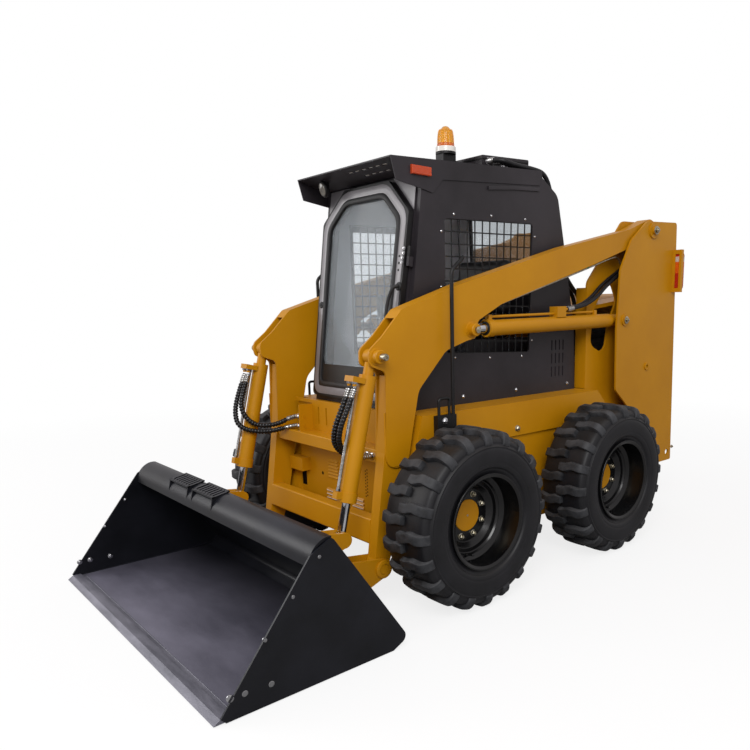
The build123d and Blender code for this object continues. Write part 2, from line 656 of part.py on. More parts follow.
def beside(base, eye, distance, off):
    """The (Y, Z) point at a distance along a cylinder, off its axis to the side its ports are on."""
    y, z = along(base, eye, distance)
    length = math.dist(base, eye)
    run = ((eye[0] - base[0]) / length, (eye[1] - base[1]) / length)
    return (y + run[1] * off, z - run[0] * off)


def port_block(base, eye, s0, s1, off0, off1, half):
    """A steel block on the barrel between two distances and two offsets."""
    rows = [(*beside(base, eye, s, off), 0) for s, off in ((s0, off0), (s1, off0), (s1, off1), (s0, off1))]
    return plate(rows, ARM_MID - half, ARM_MID + half)


def pipe(base, eye, s0, s1, off, radius):
    """A steel pipe along the barrel."""
    return bar((ARM_MID, *beside(base, eye, s0, off)), (ARM_MID, *beside(base, eye, s1, off)), radius)


LIFT_BARREL = (85, 1130, 40)       # start, end, radius
TILT_BARREL = (84, 639, 38)
PIPE_R = 7
LIFT_PORTS = (520, 596)            # where the lift cylinder's port block starts and ends
TILT_PORTS = (100, 124)
HOSE_SPREAD = 20                   # half the distance between two hoses side by side


def cylinders():
    lift_barrel, lift_rod = cylinder(LIFT_BASE, LIFT_EYE, LIFT_PIN_R, *LIFT_BARREL, 25, 36, 50, 340)
    tilt_barrel, tilt_rod = cylinder(TILT_BASE, TILT_EYE, TILT_PIN_R, *TILT_BARREL, 20, 32, 40, 222)
    ends = (LIFT_BASE, LIFT_EYE)
    radius = LIFT_BARREL[2]
    lift_barrel += port_block(*ends, *LIFT_PORTS, radius - 4, radius + 54, 28)
    for s in (LIFT_BARREL[0] + 130, LIFT_BARREL[1] - 36):
        lift_barrel += port_block(*ends, s, s + 24, radius - 4, radius + 26, 13)
    lift_barrel += pipe(*ends, LIFT_BARREL[0] + 140, LIFT_BARREL[1] - 14, radius + 16, PIPE_R)
    ends = (TILT_BASE, TILT_EYE)
    radius = TILT_BARREL[2]
    tilt_barrel += port_block(*ends, *TILT_PORTS, radius - 8, radius + 56, 32)
    tilt_barrel += port_block(*ends, TILT_BARREL[1] - 42, TILT_BARREL[1] - 12, radius - 4, radius + 30, 16)
    tilt_barrel += pipe(*ends, TILT_PORTS[0] + 10, TILT_BARREL[1] - 20, radius + 17, PIPE_R)
    for x in (-HOSE_SPREAD, HOSE_SPREAD):
        stub = beside(*ends, TILT_PORTS[1] - 3, radius + 40)
        tilt_barrel += bar((ARM_MID + x, *stub), (ARM_MID + x, stub[0], stub[1] - 20), 9)
        stub = beside(*(LIFT_BASE, LIFT_EYE), LIFT_PORTS[0] + 3, LIFT_BARREL[2] + 38)
        lift_barrel += bar((ARM_MID + x * 0.7, *stub), (ARM_MID + x * 0.7, stub[0] + 24, stub[1]), 9)
    for name, solid in (("lift_barrel", lift_barrel), ("lift_rod", lift_rod), ("tilt_barrel", tilt_barrel),
                        ("tilt_rod", tilt_rod)):
        save(f"{name}_l", solid)
        save(f"{name}_r", mirror(solid, Plane.YZ))


# ---- Hoses ---------------------------------------------------------------------------------------
def hose(points, radius):
    """A round hose on straight runs and tangent arcs through the points' corners."""
    radii = []
    for a, b, c in zip(points, points[1:], points[2:]):
        before, after = Vector(*b) - Vector(*a), Vector(*c) - Vector(*b)
        half = math.radians(before.get_angle(after)) / 2
        radii.append(0.45 * min(before.length, after.length) / math.tan(half))
    path = FilletPolyline(*points, radius=radii)
    return sweep(Plane(origin=path @ 0, z_dir=path % 0) * Circle(radius), path=path)


def tilt_hoses():
    """Two hoses from each tilt cylinder: the left pair to the shelf's lip, the right pair to the couplers."""
    y, z = beside(TILT_BASE, TILT_EYE, TILT_PORTS[1] - 3, TILT_BARREL[2] + 40)
    top = z - 30
    pieces = []
    for n, end_x in enumerate(HOSE_ENDS):
        x = ARM_MID + (2 * n - 1) * HOSE_SPREAD
        pieces.append(hose([(x, y, top), (x - 6, y - 38, top - 90), (x - 26, y - 66, top - 168),
                            (x - 60, y - 54, top - 252), (end_x, y + 38, 692), (end_x, -306.3, 692)], 10))
    x = -ARM_MID
    pieces.append(hose([
        (x + HOSE_SPREAD, y, top), (x + HOSE_SPREAD, y - 41, top - 94), (x + 24, y - 61, top - 188),
        (x + 62, y - 9, 748), (x + 104, y + 96, 746), (-333.6, -272.8, 790.6), (-285.3, -262.07, 795.97),
    ], 10))
    pieces.append(hose([
        (x - HOSE_SPREAD, y, top), (x - HOSE_SPREAD, y - 45, top - 98), (x - 14, y - 77, top - 203),
        (x + 31, y - 77, 740), (x + 84, y + 40, 708), (-333.6, -272.8, 740.6), (-285.3, -262.07, 745.97),
    ], 10))
    return pieces


def lift_hoses():
    """Two hoses from the port block, up and back into the tower between its plates."""
    y, z = beside(LIFT_BASE, LIFT_EYE, LIFT_PORTS[0] + 3, LIFT_BARREL[2] + 38)
    return [hose([(ARM_MID + 0.7 * x, y + 25, z), (ARM_MID + 0.7 * x, y + 150, z + 8), (ARM_MID + x - 4, y + 300, z + 62),
                  (ARM_MID + x - 10, y + 420, z + 150), (ARM_MID + x - 12, y + 600, z + 232)], 11)
            for x in (-HOSE_SPREAD, HOSE_SPREAD)]


def roof_hoses():
    """Two hoses from the air conditioner's left side, along the roof and down behind the cab."""
    return [hose([(230.3, port, 2110), (x - 26, port, 2110), (x, port + 84, 2086), (x, 900, 2084), (x, 985, 2070),
                  (x, 1036, 1985), (x, 1064, 1800), (x, 1104, 1610), (x, 1236, 1470), (x, 1314, 1415),
                  (x, 1322, 1364)], 13)
            for port, x in ((648, 338), (696, 300))]


# ---- Bucket and coupler --------------------------------------------------------------------------
BACK_TOP = (-820, 546)
HEEL = (-484, 40)      # where the lines of back and floor meet
LIP = (-905, 492)      # front end of the folded top edge
FLOOR_Z = 4
SHEET = 8


def bucket_shell():
    inner = BUCKET_HALF_W - SHEET
    side = [(EDGE_Y + 23, FLOOR_Z + 20, 0), (EDGE_Y + 40, FLOOR_Z, 0), (-560, FLOOR_Z, 0),
            (HEEL[0], HEEL[1], 30), (BACK_TOP[0], BACK_TOP[1], 20), (-912, 497, 0)]
    sheet = [(EDGE_Y + 60, FLOOR_Z, 0), (-560, FLOOR_Z, 40), (HEEL[0], HEEL[1], 30),
             (BACK_TOP[0], BACK_TOP[1], 12), (*LIP, 0), (-897, 486, 0), (-823, 533, 10),
             (-496, 46, 24), (-560, FLOOR_Z + SHEET, 40), (EDGE_Y + 60, FLOOR_Z + SHEET, 0)]
    shell = plate(sheet, -inner, inner)
    for x0, x1 in ((inner, BUCKET_HALF_W), (-BUCKET_HALF_W, -inner)):
        shell += plate(side, x0, x1)
    return shell


def cutting_edge():
    rows = [(EDGE_Y, FLOOR_Z, 0), (EDGE_Y + 24, FLOOR_Z + 16, 0), (EDGE_Y + 60, FLOOR_Z + 16, 0),
            (EDGE_Y + 60, FLOOR_Z, 0)]
    inner = BUCKET_HALF_W - SHEET
    return plate(rows, -inner, inner)


def bucket_steps():
    """Tread plates on the folded top edge."""
    pieces = []
    low, high = along(BACK_TOP, LIP, 90), along(BACK_TOP, LIP, 14)
    rows = [(*low, 0), (*high, 0), (high[0] - 5, high[1] + 8, 0), (low[0] - 5, low[1] + 8, 0)]
    for x in (-330, -60):
        step = plate(rows, x - 110, x + 110)
        for n in range(7):
            middle = x - 84 + 28 * n
            step -= block(middle - 6, middle + 6, low[0] + 14, high[0] - 18, 480, 580)
        pieces.append(step)
    return pieces


def coupler():
    """Quick coupler: a plate on the bucket's back with ears for both pairs of pins."""
    back = math.dist(BACK_TOP, HEEL)
    run = ((HEEL[0] - BACK_TOP[0]) / back, (HEEL[1] - BACK_TOP[1]) / back)
    out = (-run[1], run[0])

    def at(down, off):
        return (BACK_TOP[0] + run[0] * down + out[0] * off, BACK_TOP[1] + run[1] * down + out[1] * off)

    face = [(*at(130, 1), 0), (*at(560, 1), 0), (*at(560, 17), 0), (*at(130, 17), 0)]
    frame = plate(face, -560, 560)
    # (inner face of the ear, pin it carries, distances down the plate where its foot starts and ends)
    ears = [(436, BUCKET_PIN, 46, 330, 555), (520, BUCKET_PIN, 46, 330, 555),
            (448, TILT_EYE, 34, 150, 300), (508, TILT_EYE, 34, 150, 300)]
    for x, pin, radius, low, high in ears:
        ear = plate([(*at(low, 16), 0), (*at(high, 16), 0), (pin[0] - 4, pin[1] - radius, 0),
                     (pin[0] + 8, pin[1] + radius, 0)], x, x + 16)
        ear += bar_x(pin, radius, x, x + 16)
        frame += ear + mirror(ear, Plane.YZ)
    pin = bar_x(BUCKET_PIN, 22, 436, 545)
    return frame + pin + mirror(pin, Plane.YZ)


# ---- Build ---------------------------------------------------------------------------------------
wheels()
cylinders()
squab, backrest = seat()
frame, pane = front_door()
beacon_base, beacon_lens = beacon()
for name, pieces in {
    "axle_housings": axle_housings(),
    "chaincases": chaincases(),
    "side_beams": side_beams(),
    "chassis_tub": chassis_tub(),
    "front_panel": front_panel(),
    "towers": towers(),
    "engine_block": engine_block(),
    "engine_hood": engine_hood(),
    "rear_bumper": rear_bumper(),
    "cab_sides": cab_sides(),
    "cab_roof": cab_roof(),
    "visor": visor(),
    "cab_rear_wall": cab_rear_wall(),
    "cab_front_frame": cab_front_frame(),
    "cab_floor": cab_floor(),
    "seat_squab": squab,
    "seat_back": backrest,
    "side_grilles": side_grilles(),
    "ac_unit": ac_unit(),
    "beacon_base": beacon_base,
    "beacon_lens": beacon_lens,
    "lamps": lamps(),
    "mirror_poles": mirror_poles(),
    "controls": controls(),
    "door_frame": frame,
    "door_glass": pane,
    "engine_door": engine_door(),
    "rear_glass": rear_glass(),
    "tilt_hoses": tilt_hoses(),
    "roof_hoses": roof_hoses(),
    "lift_hoses_l": lift_hoses(),
    "lift_hoses_r": [mirror(h, Plane.YZ) for h in lift_hoses()],
    "arm_booms": arm_booms(),
    "arm_legs": arm_legs(),
    "lower_crossmember": lower_crossmember(),
    "shelf": shelf(),
    "coupler": coupler(),
    "bucket_shell": bucket_shell(),
    "cutting_edge": cutting_edge(),
    "bucket_steps": bucket_steps(),
}.items():
    save(name, pieces)
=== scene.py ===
import math

import bmesh
import bpy
import numpy as np
from mathutils import Matrix, Vector


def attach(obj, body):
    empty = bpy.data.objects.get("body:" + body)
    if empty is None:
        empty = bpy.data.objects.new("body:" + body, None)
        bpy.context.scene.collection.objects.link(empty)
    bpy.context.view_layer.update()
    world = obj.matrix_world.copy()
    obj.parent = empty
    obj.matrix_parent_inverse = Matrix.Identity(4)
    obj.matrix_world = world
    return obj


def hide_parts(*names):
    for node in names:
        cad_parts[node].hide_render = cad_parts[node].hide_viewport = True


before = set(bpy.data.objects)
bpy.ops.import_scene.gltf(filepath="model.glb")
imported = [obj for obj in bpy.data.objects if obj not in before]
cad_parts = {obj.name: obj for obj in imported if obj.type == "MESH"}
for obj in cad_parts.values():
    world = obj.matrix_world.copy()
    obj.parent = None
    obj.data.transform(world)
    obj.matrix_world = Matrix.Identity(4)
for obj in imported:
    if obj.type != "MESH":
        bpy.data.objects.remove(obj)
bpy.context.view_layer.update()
# Where the axles stand, in millimetres. Many lengths along the machine are drawn from the front one.
front_axle, rear_axle, axle_height = -421.0, 640.0, 411.0


# ---- Camera ----
# The machine is seen from its front left corner, a little above the wheels' tops, with a lens whose
# middle is shifted so that upright lines stay upright.
def linked(name, data):
    """An object for the data, in the scene."""
    made = bpy.data.objects.new(name, data)
    bpy.context.scene.collection.objects.link(made)
    return made


turn, rise, roll = (math.radians(v) for v in (46.56, 11.1, -0.52))
back = Vector((math.sin(turn) * math.cos(rise), -math.cos(turn) * math.cos(rise), math.sin(rise)))
across = Vector((math.cos(turn), math.sin(turn), 0.0))
upward = back.cross(across)
across, upward = (across * math.cos(roll) + upward * math.sin(roll),
                  upward * math.cos(roll) - across * math.sin(roll))
studio_camera = linked("studio_camera", bpy.data.cameras.new("studio_camera"))
bpy.context.scene.camera = studio_camera
facing = Matrix((across, upward, back)).transposed().to_4x4()
studio_camera.matrix_world = Matrix.Translation((2.9060, -2.4963, 1.3456)) @ facing
studio_camera.data.sensor_width = 36.0
studio_camera.data.lens = 32.63
studio_camera.data.shift_x = -0.1197
studio_camera.data.shift_y = 0.0894


# ---- Hydraulic hoses ----
# Wire-braided rubber hoses, black with a faint cloth wrap, crimped into plated end fittings. The
# tilt hoses hang in front of the arms, the lift hoses run into the towers, and two thinner-walled
# ones carry the air conditioner's coolant down behind the cab.
def linear(red, green, blue):
    """Screen colour numbers from 0 to 255 as the linear values that a shader takes."""
    c = np.array([red, green, blue]) / 255.0
    return (*np.where(c <= 0.04045, c / 12.92, ((c + 0.055) / 1.055) ** 2.4), 1.0)


def wire(node, inputs):
    """Fill a node's inputs, by name or number, with values or other nodes' outputs."""
    for key, value in inputs.items():
        if isinstance(value, bpy.types.NodeSocket):
            node.id_data.links.new(value, node.inputs[key])
        else:
            node.inputs[key].default_value = value
    return node


def shade(tree, kind, output, inputs=None, **settings):
    """Add a shader node of a kind to a tree and give its output of that name."""
    node = tree.nodes.new("ShaderNode" + kind)
    for name, value in settings.items():
        setattr(node, name, value)
    return wire(node, inputs or {}).outputs[output]


def blended(tree, share, first, second):
    """One colour fading into a second as the share rises."""
    return shade(tree, "Mix", "Result", {"Factor": share, "A": first, "B": second}, data_type="RGBA")


def computed(tree, operation, first, second=0.0):
    """A sum of two numbers or outputs, by the name of the operation."""
    return shade(tree, "Math", "Value", {0: first, 1: second}, operation=operation)


def finish(name, slot, tones, rough, patch=2.5, spread=0.07, grain=350.0, bump=0.08, metal=0.0, coat=0.0,
           dust=0.0, stretch=(1.0, 1.0, 1.0), specular=0.5, fallen=(176, 166, 150)):
    """Two tones mixed by soft noise patches, a finer noise that varies the gloss by spread and
    lifts the surface by bump, and dust in the fallen colour on what faces up, broken by the patches."""
    material = bpy.data.materials.new(name)
    material["slot"] = slot
    material.use_nodes = True
    tree = material.node_tree
    place = shade(tree, "TexCoord", "Object")
    place = shade(tree, "Mapping", "Vector", {"Vector": place, "Scale": stretch})
    patches = shade(tree, "TexNoise", "Fac", {"Vector": place, "Scale": patch, "Detail": 6.0,
                                              "Roughness": 0.62})
    speckle = shade(tree, "TexNoise", "Fac", {"Vector": place, "Scale": grain, "Detail": 3.0})
    colour = shade(tree, "ValToRGB", "Color", {"Fac": patches})
    for stop, position, tone in zip(colour.node.color_ramp.elements, (0.34, 0.66), tones):
        stop.position, stop.color = position, linear(*tone)
    if dust:
        normal = shade(tree, "NewGeometry", "Normal")
        facing = shade(tree, "SeparateXYZ", "Z", {"Vector": normal})
        lying = {"Value": facing, "From Min": 0.35, "From Max": 1.0, "To Max": dust * 2.0}
        lying = shade(tree, "MapRange", "Result", lying)
        colour = blended(tree, computed(tree, "MULTIPLY", lying, patches), colour, linear(*fallen))
    gloss = {"Value": patches, "To Min": max(rough - spread, 0.03), "To Max": rough + spread}
    gloss = shade(tree, "MapRange", "Result", gloss)
    raised = shade(tree, "Bump", "Normal", {"Height": speckle, "Strength": bump, "Distance": 0.001})
    wire(tree.nodes["Principled BSDF"], {
        "Base Color": colour, "Roughness": gloss, "Normal": raised, "Metallic": metal, "Coat Weight": coat,
        "Coat Roughness": 0.12, "Specular IOR Level": specular})
    return material


def dress(material, *names):
    """Give the frame's own solids of these names a material."""
    for name in names:
        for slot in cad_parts[name].material_slots:
            slot.material = material


def places(mesh):
    """Where a mesh's points are, shaped (points, 3)."""
    found = np.zeros(len(mesh.vertices) * 3)
    mesh.vertices.foreach_get("co", found)
    return found.reshape(-1, 3)


def hose(name, route, radius, body):
    """A hose on a smooth spline that the route's points, in millimetres, pull along."""
    data = bpy.data.curves.new(name, "CURVE")
    data.dimensions = "3D"
    spline = data.splines.new("NURBS")
    spline.points.add(len(route) - 1)
    spline.points.foreach_set("co", np.c_[np.array(route) / 1000.0, np.ones(len(route))].ravel())
    spline.order_u = 3
    spline.use_endpoint_u = True
    spline.resolution_u = 12
    data.use_fill_caps = True
    cord = linked(name, data)
    line = places(bpy.data.meshes.new_from_object(cord))
    data.bevel_depth = radius / 1000.0
    data.bevel_resolution = 5
    data.materials.append(hose_rubber)
    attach(cord, body)
    return cord, line


def woven(grid, wrap_u=False, wrap_v=False):
    """Quads between the neighbours of a grid of points (u, v, 3); a wrapped side joins its start,
    and a closed shell's faces are turned outwards."""
    nu, nv = grid.shape[:2]
    u = np.arange(nu if wrap_u else nu - 1)[:, None]
    v = np.arange(nv if wrap_v else nv - 1)[None, :]
    ahead, beside = (u + 1) % nu, (v + 1) % nv
    faces = np.stack([u * nv + v, u * nv + beside, ahead * nv + beside, ahead * nv + v], -1).reshape(-1, 4)
    points = grid.reshape(-1, 3)
    a, b, c, d = (points[faces[:, n]] - points.mean(axis=0) for n in range(4))
    volume = (np.cross(a, b) * c).sum() + (np.cross(a, c) * d).sum()
    return points, faces if volume >= 0 else faces[:, ::-1]


def piece(name, shells, material, body="chassis", sharp=34.0):
    """Join shells of (points, faces) into one object on a body, in its material's own slot if none is
    named; points that meet are merged, and edges steeper than the sharp angle stay crisp."""
    counts = np.cumsum([0] + [len(points) for points, _ in shells])
    mesh = bpy.data.meshes.new(name)
    mesh.from_pydata(np.concatenate([points for points, _ in shells]).tolist(), [],
                     np.concatenate([faces + start for (_, faces), start in zip(shells, counts)]).tolist())
    whole = bmesh.new()
    whole.from_mesh(mesh)
    bmesh.ops.remove_doubles(whole, verts=whole.verts, dist=0.000002)
    whole.to_mesh(mesh)
    whole.free()
    mesh.materials.append(material)
    mesh.shade_smooth()
    mesh.set_sharp_from_angle(angle=math.radians(sharp))
    made = linked(name, mesh)
    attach(made, body)
    return made


def circle(count):
    """The cosines and sines of evenly spaced turns, shaped (count, 2)."""
    angle = np.linspace(0.0, 2.0 * math.pi, count, endpoint=False)
    return np.stack([np.cos(angle), np.sin(angle)], -1)


def turned(profile, origin, axis, around=24):
    """A profile of (distance along the axis, radius), in millimetres, turned about the line that
    starts at origin and runs along axis."""
    axis = np.array(axis, float) / np.linalg.norm(axis)
    side = np.cross(axis, (0.0, 0.0, 1.0) if abs(axis[2]) < 0.9 else (1.0, 0.0, 0.0))
    side /= np.linalg.norm(side)
    ring = circle(around) @ [side, np.cross(axis, side)]
    distance, radius = np.array(profile, float).T[:, :, None, None]
    return woven((origin + distance * axis + radius * ring) / 1000.0, wrap_v=True)


hose_rubber = finish("hose_rubber", "hose_rubber", ((13, 13, 15), (24, 24, 26)), 0.46, patch=40.0,
                     grain=900.0, bump=0.25, specular=0.35)
guard_plastic = finish("guard_plastic", "black_paint", ((9, 9, 10), (20, 20, 22)), 0.26, patch=60.0, bump=0.1)
plated_steel = finish("plated_steel", "chrome", ((150, 148, 142), (196, 196, 196)), 0.26, patch=50.0,
                      metal=1.0, bump=0.05)


def along(line, start, stop, count):
    """Evenly spaced points between two shares of a line's length, with the direction and two
    crosswise directions at each."""
    run = np.r_[0.0, np.cumsum(np.linalg.norm(np.diff(line, axis=0), axis=1))]
    at = np.linspace(start, stop, count) * run[-1]
    points = np.stack([np.interp(at, run, line[:, n]) for n in range(3)], -1)
    ahead = np.gradient(points, axis=0)
    ahead /= np.linalg.norm(ahead, axis=1)[:, None]
    side = np.cross(ahead, np.cross(line[0] - line[-1], (0.3, 1.0, 0.2)))
    side /= np.linalg.norm(side, axis=1)[:, None]
    return points, ahead, side, np.cross(ahead, side)


def spiral(line, start, stop, radius, pitch, thickness, width):
    """A flat band wound about a line at a radius, once a pitch: an oval, wide along the line."""
    length = np.linalg.norm(np.diff(line, axis=0), axis=1).sum() * (stop - start) * 1000.0
    count = int(length / pitch * 16)
    points, ahead, side, other = along(line, start, stop, count)
    angle = (np.arange(count) / 16 * 2.0 * math.pi)[:, None]
    out = np.cos(angle) * side + np.sin(angle) * other
    middle = points + out * radius / 1000.0
    oval = circle(8) * (thickness, width) / 2000.0
    section = oval[:, :1] * out[:, None] + oval[:, 1:] * ahead[:, None]
    section[[0, -1]] = 0.0
    return woven(middle[:, None] + section, wrap_v=True)


def crimped(line, start, stop, radius):
    """A pressed collar about the line: a ring section whose radius rises to four flat bands."""
    points, _, side, other = along(line, start, stop, 15)
    size = radius * np.array([0, 0.9, 1, 1, 0.86, 1, 1, 0.86, 1, 1, 0.86, 1, 1, 0.9, 0]) / 1000.0
    ring = circle(16) @ np.stack([side, other], 1)
    return woven(points[:, None] + ring * size[:, None, None], wrap_v=True)


# Each tilt hose: name, length, route, the shares of it that the spring guard covers, and the
# guard's thickness, which is less where the left tilt cylinder comes close.
tilt_routes = [
    ("tilt_hose_left_inner", 0.466,
     [(466, -862.17, 1018.69), (460, -900.17, 928.69), (440, -928.17, 850.69), (406, -916.17, 766.69),
      (384, -824.17, 692), (384, -727.3, 692)], 0.10, 0.86, 4.0),
    ("tilt_hose_left_outer", 0.466,
     [(506, -862.17, 1018.69), (500, -900.17, 928.69), (480, -928.17, 850.69), (446, -916.17, 766.69),
      (420, -824.17, 692), (420, -727.3, 692)], 0.10, 0.86, 2.4),
    ("tilt_hose_right_inner", 0.537,
     [(-466, -862.17, 1018.69), (-466, -903.17, 924.69), (-462, -923.17, 830.69), (-424, -871.17, 748),
      (-382, -766.17, 746), (-333.6, -693.8, 790.6), (-285.3, -683.07, 795.97)], 0.09, 0.84, 4.0),
    ("tilt_hose_right_outer", 0.61,
     [(-506, -862.17, 1018.69), (-506, -907.17, 920.69), (-500, -939.17, 815.69), (-455, -939.17, 740),
      (-402, -822.17, 708), (-333.6, -693.8, 740.6), (-285.3, -683.07, 745.97)], 0.09, 0.84, 4.0),
]
for name, length, route, guard_from, guard_to, thick in tilt_routes:
    cord, line = hose(name, route, 10.0, "arms")
    guard = spiral(line, guard_from, guard_to, 9.6 + thick / 2.0, 15.0, thick, 10.5)
    guard = piece(f"{name}_guard", [guard], guard_plastic, "arms")
    collars = [crimped(line, 0.002, guard_from - 0.005, 13.5), crimped(line, guard_to + 0.01, 0.996, 13.0)]
    ends = piece(f"{name}_ends", collars, plated_steel, "arms")
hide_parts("tilt_hoses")

for side, tag in ((1, "l"), (-1, "r")):
    for n, x in enumerate((-20, 20)):
        route = [(486 + 0.7 * x, 573.6, 1338.07), (486 + 0.7 * x, 698.6, 1346.07), (482 + x, 848.6, 1400.07),
                 (476 + x, 968.6, 1488.07), (474 + x, 1148.6, 1570.07)]
        route = [(side * px, py, pz) for px, py, pz in route]
        cord, line = hose(f"lift_hose_{tag}_{n}", route, 11.0, f"lift_barrel_{tag}")
        ends = piece(f"lift_hose_{tag}_{n}_end", [crimped(line, 0.002, 0.1, 14.0)], plated_steel,
                     f"lift_barrel_{tag}")
        if n == 0:
            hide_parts(f"lift_hoses_{tag}")

for name, length, port, x in (("coolant_hose_out", 1.212, 648, 338), ("coolant_hose_back", 1.13, 696, 300)):
    route = [(230.3, port, 2110), (x - 26, port, 2110), (x, port + 84, 2086), (x, 900, 2084),
             (x, 985, 2070), (x, 1036, 1985), (x, 1064, 1800), (x, 1104, 1610), (x, 1236, 1470),
             (x, 1314, 1415), (x, 1322, 1364)]
    route = [(px, py + front_axle, pz) for px, py, pz in route]
    cord, line = hose(name, route, 13.0, "chassis")
    ends = piece(f"{name}_end", [crimped(line, 0.002, 0.035, 16.5)], plated_steel)
    if name == "coolant_hose_out":
        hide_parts("roof_hoses")


# ---- Frame, belly and towers ----
# Folded and welded steel plate: two chaincases with the beams above them, a flat belly, and a hollow
# tower behind each arm. All of it is sprayed in one ochre paint that shows faint orange peel.
yellow_paint = finish("yellow_paint", "yellow_paint", ((179, 121, 5), (191, 132, 8)), 0.4, patch=1.6,
                      spread=0.06, grain=420.0, bump=0.05, dust=0.01, specular=0.24)
zinc_plate = finish("zinc_plate", "steel", ((150, 140, 112), (200, 196, 182)), 0.3, patch=70.0, metal=1.0,
                    bump=0.1)
bright_steel = finish("bright_steel", "steel", ((165, 165, 168), (212, 212, 214)), 0.2, patch=60.0, metal=1.0,
                      bump=0.04)
dress(yellow_paint, "chaincases", "side_beams", "towers", "chassis_tub", "front_panel", "axle_housings")


def bolt(at, axis, flats, height, washer=0.0):
    """A chamfered hexagon head on a round washer, and a thread's end, standing at a point."""
    half = flats / 2.0 / math.cos(math.pi / 6)
    rim = washer or flats * 0.78
    plate = turned([(-1, 0), (-1, rim), (1.6, rim), (2.2, rim - 1), (2.2, 0)], at, axis, 28)
    head = turned([(1, 0), (1, half), (height * 0.86, half), (height, half * 0.84), (height, 0)], at, axis, 6)
    thread = turned([(1, 0), (1, flats * 0.3), (height * 1.3, flats * 0.3), (height * 1.4, flats * 0.22),
                     (height * 1.4, 0)], at, axis, 16)
    return [plate, head, thread]


def outward(profile, x, y, z, around=24):
    """A profile turned about a line out of the machine's left side, and its twin on the right."""
    return [turned(profile, (side * x, y, z), (side, 0, 0), around) for side in (1, -1)]


def bolt_pairs(*rows):
    """Bolts that point out of both sides: rows of x, y, z, flats, height and perhaps washer."""
    return [shell for x, y, z, *size in rows for side in (1, -1)
            for shell in bolt((side * x, y, z), (side, 0, 0), *size)]


pin_bolts = bolt_pairs((574, 1350, 1807, 30, 14, 26), (564, 1073, 1270, 24, 12, 22),
                       (545, 118, 728, 22, 14, 16), (548, 1700, 401, 14, 9))
piece("frame_pin_bolts", pin_bolts, zinc_plate)


def welded(a, b, width, wave=5.0):
    """A weld bead between two points: round, and swelling once every wave millimetres."""
    a, b = np.array(a, float), np.array(b, float)
    length = np.linalg.norm(b - a)
    share = np.linspace(0.0, 1.0, int(length / wave * 4))
    ahead = (b - a) / length
    side = np.cross(ahead, (0.31, 0.52, 0.79))
    side /= np.linalg.norm(side)
    size = width / 2.0 * (0.86 + 0.14 * np.abs(np.sin(math.pi * share * length / wave)))
    size[[0, -1]] = 0.0
    ring = circle(8) @ [side, np.cross(ahead, side)]
    return woven((a + share[:, None, None] * (b - a) + ring * size[:, None, None]) / 1000.0, wrap_v=True)


seams = [welded((side * 532, -560, 690), (side * 532, 1030, 690), 7) for side in (1, -1)]
for y in (front_axle, rear_axle):
    seams += outward([(-3, 105), (0, 112), (3, 110), (4, 105), (-3, 105)], 532, y, axle_height, 48)
piece("frame_weld_seams", seams, yellow_paint)


def slab(corners, lift):
    """A flat closed shell between a ring of corners and the same ring moved by lift."""
    low = np.array(corners, float)
    high = low + np.array(lift, float)
    rows = [low * 0 + low.mean(axis=0), low, high, high * 0 + high.mean(axis=0)]
    return woven(np.stack(rows) / 1000.0, wrap_v=True)


def panel(x, near, far, lift):
    """A slab from one x to another between two edges, each at a (y, z)."""
    return slab([(x[0], *near), (x[1], *near), (x[1], *far), (x[0], *far)], lift)


# The front panel: painted highlights on its lower louvres, painted shade in its opening and small holes.
# Pale strips along the top edges of the lower louvres paint the highlights that light draws there.
louvre_glint_paint = finish("louvre_glint_paint", "yellow_paint", ((214, 196, 176), (236, 226, 214)), 0.4, patch=30.0, bump=0.1)
louvre_glints = [panel(x, (-626.2, z + 0.5), (-626.2, z + 4.5), (0, -0.7, 0))
                for x in ((-136, -46), (-22, 68), (100, 190)) for z in (368, 388, 408)]
piece("louvre_painted_glints", louvre_glints, louvre_glint_paint)
# Near-black discs and a slab paint the shade inside small holes and an opening under the valve box.
hole_shade_black = finish("hole_shade_black", "black_paint", ((4, 4, 4), (8, 7, 7)), 0.8, patch=20.0, bump=0.0,
                    specular=0.1)
hole_shades = [panel((-391, -348), (-619.5, 396), (-619.5, 480), (0, 1.2, 0))]
for x, z, radius in ((-180, 492, 9), *((212 + 14 * (n % 2), 440 + 8 * n, 4) for n in range(18))):
    hole_shades.append(turned([(0, 0), (0, radius), (1.2, radius), (1.2, 0)], (x, -619.5, z), (0, 1, 0), 16))
piece("front_panel_hole_shade", hole_shades, hole_shade_black)


# ---- Engine bay ----
# A cast-iron diesel with its pumps under a slotted sheet hood, a hinged rear door with cooling
# slots, and a cross beam with the tow tongue between the towers.
cast_iron = finish("cast_iron", "steel", ((44, 44, 46), (70, 68, 66)), 0.62, patch=14.0, grain=500.0,
                   bump=0.4, dust=0.15)
dress(cast_iron, "engine_block")
dress(yellow_paint, "engine_hood", "engine_door", "rear_bumper")
piece("engine_door_latch_plate", [panel((-404, -324), (1681.9, 940), (1676.4, 1060), (0, 6, 0.3))],
      guard_plastic, "engine_door")
latch = turned([(0, 0), (0, 20), (2, 22), (5, 20), (5, 9), (14, 9), (16, 7), (16, 0)],
               (-364, 1684, 1000), (0, 1, 0.046), 32)
grip = panel((-370, -358), (1697, 968), (1697, 1032), (0, 5, 0))
piece("engine_door_latch", [latch, grip], bright_steel, "engine_door")

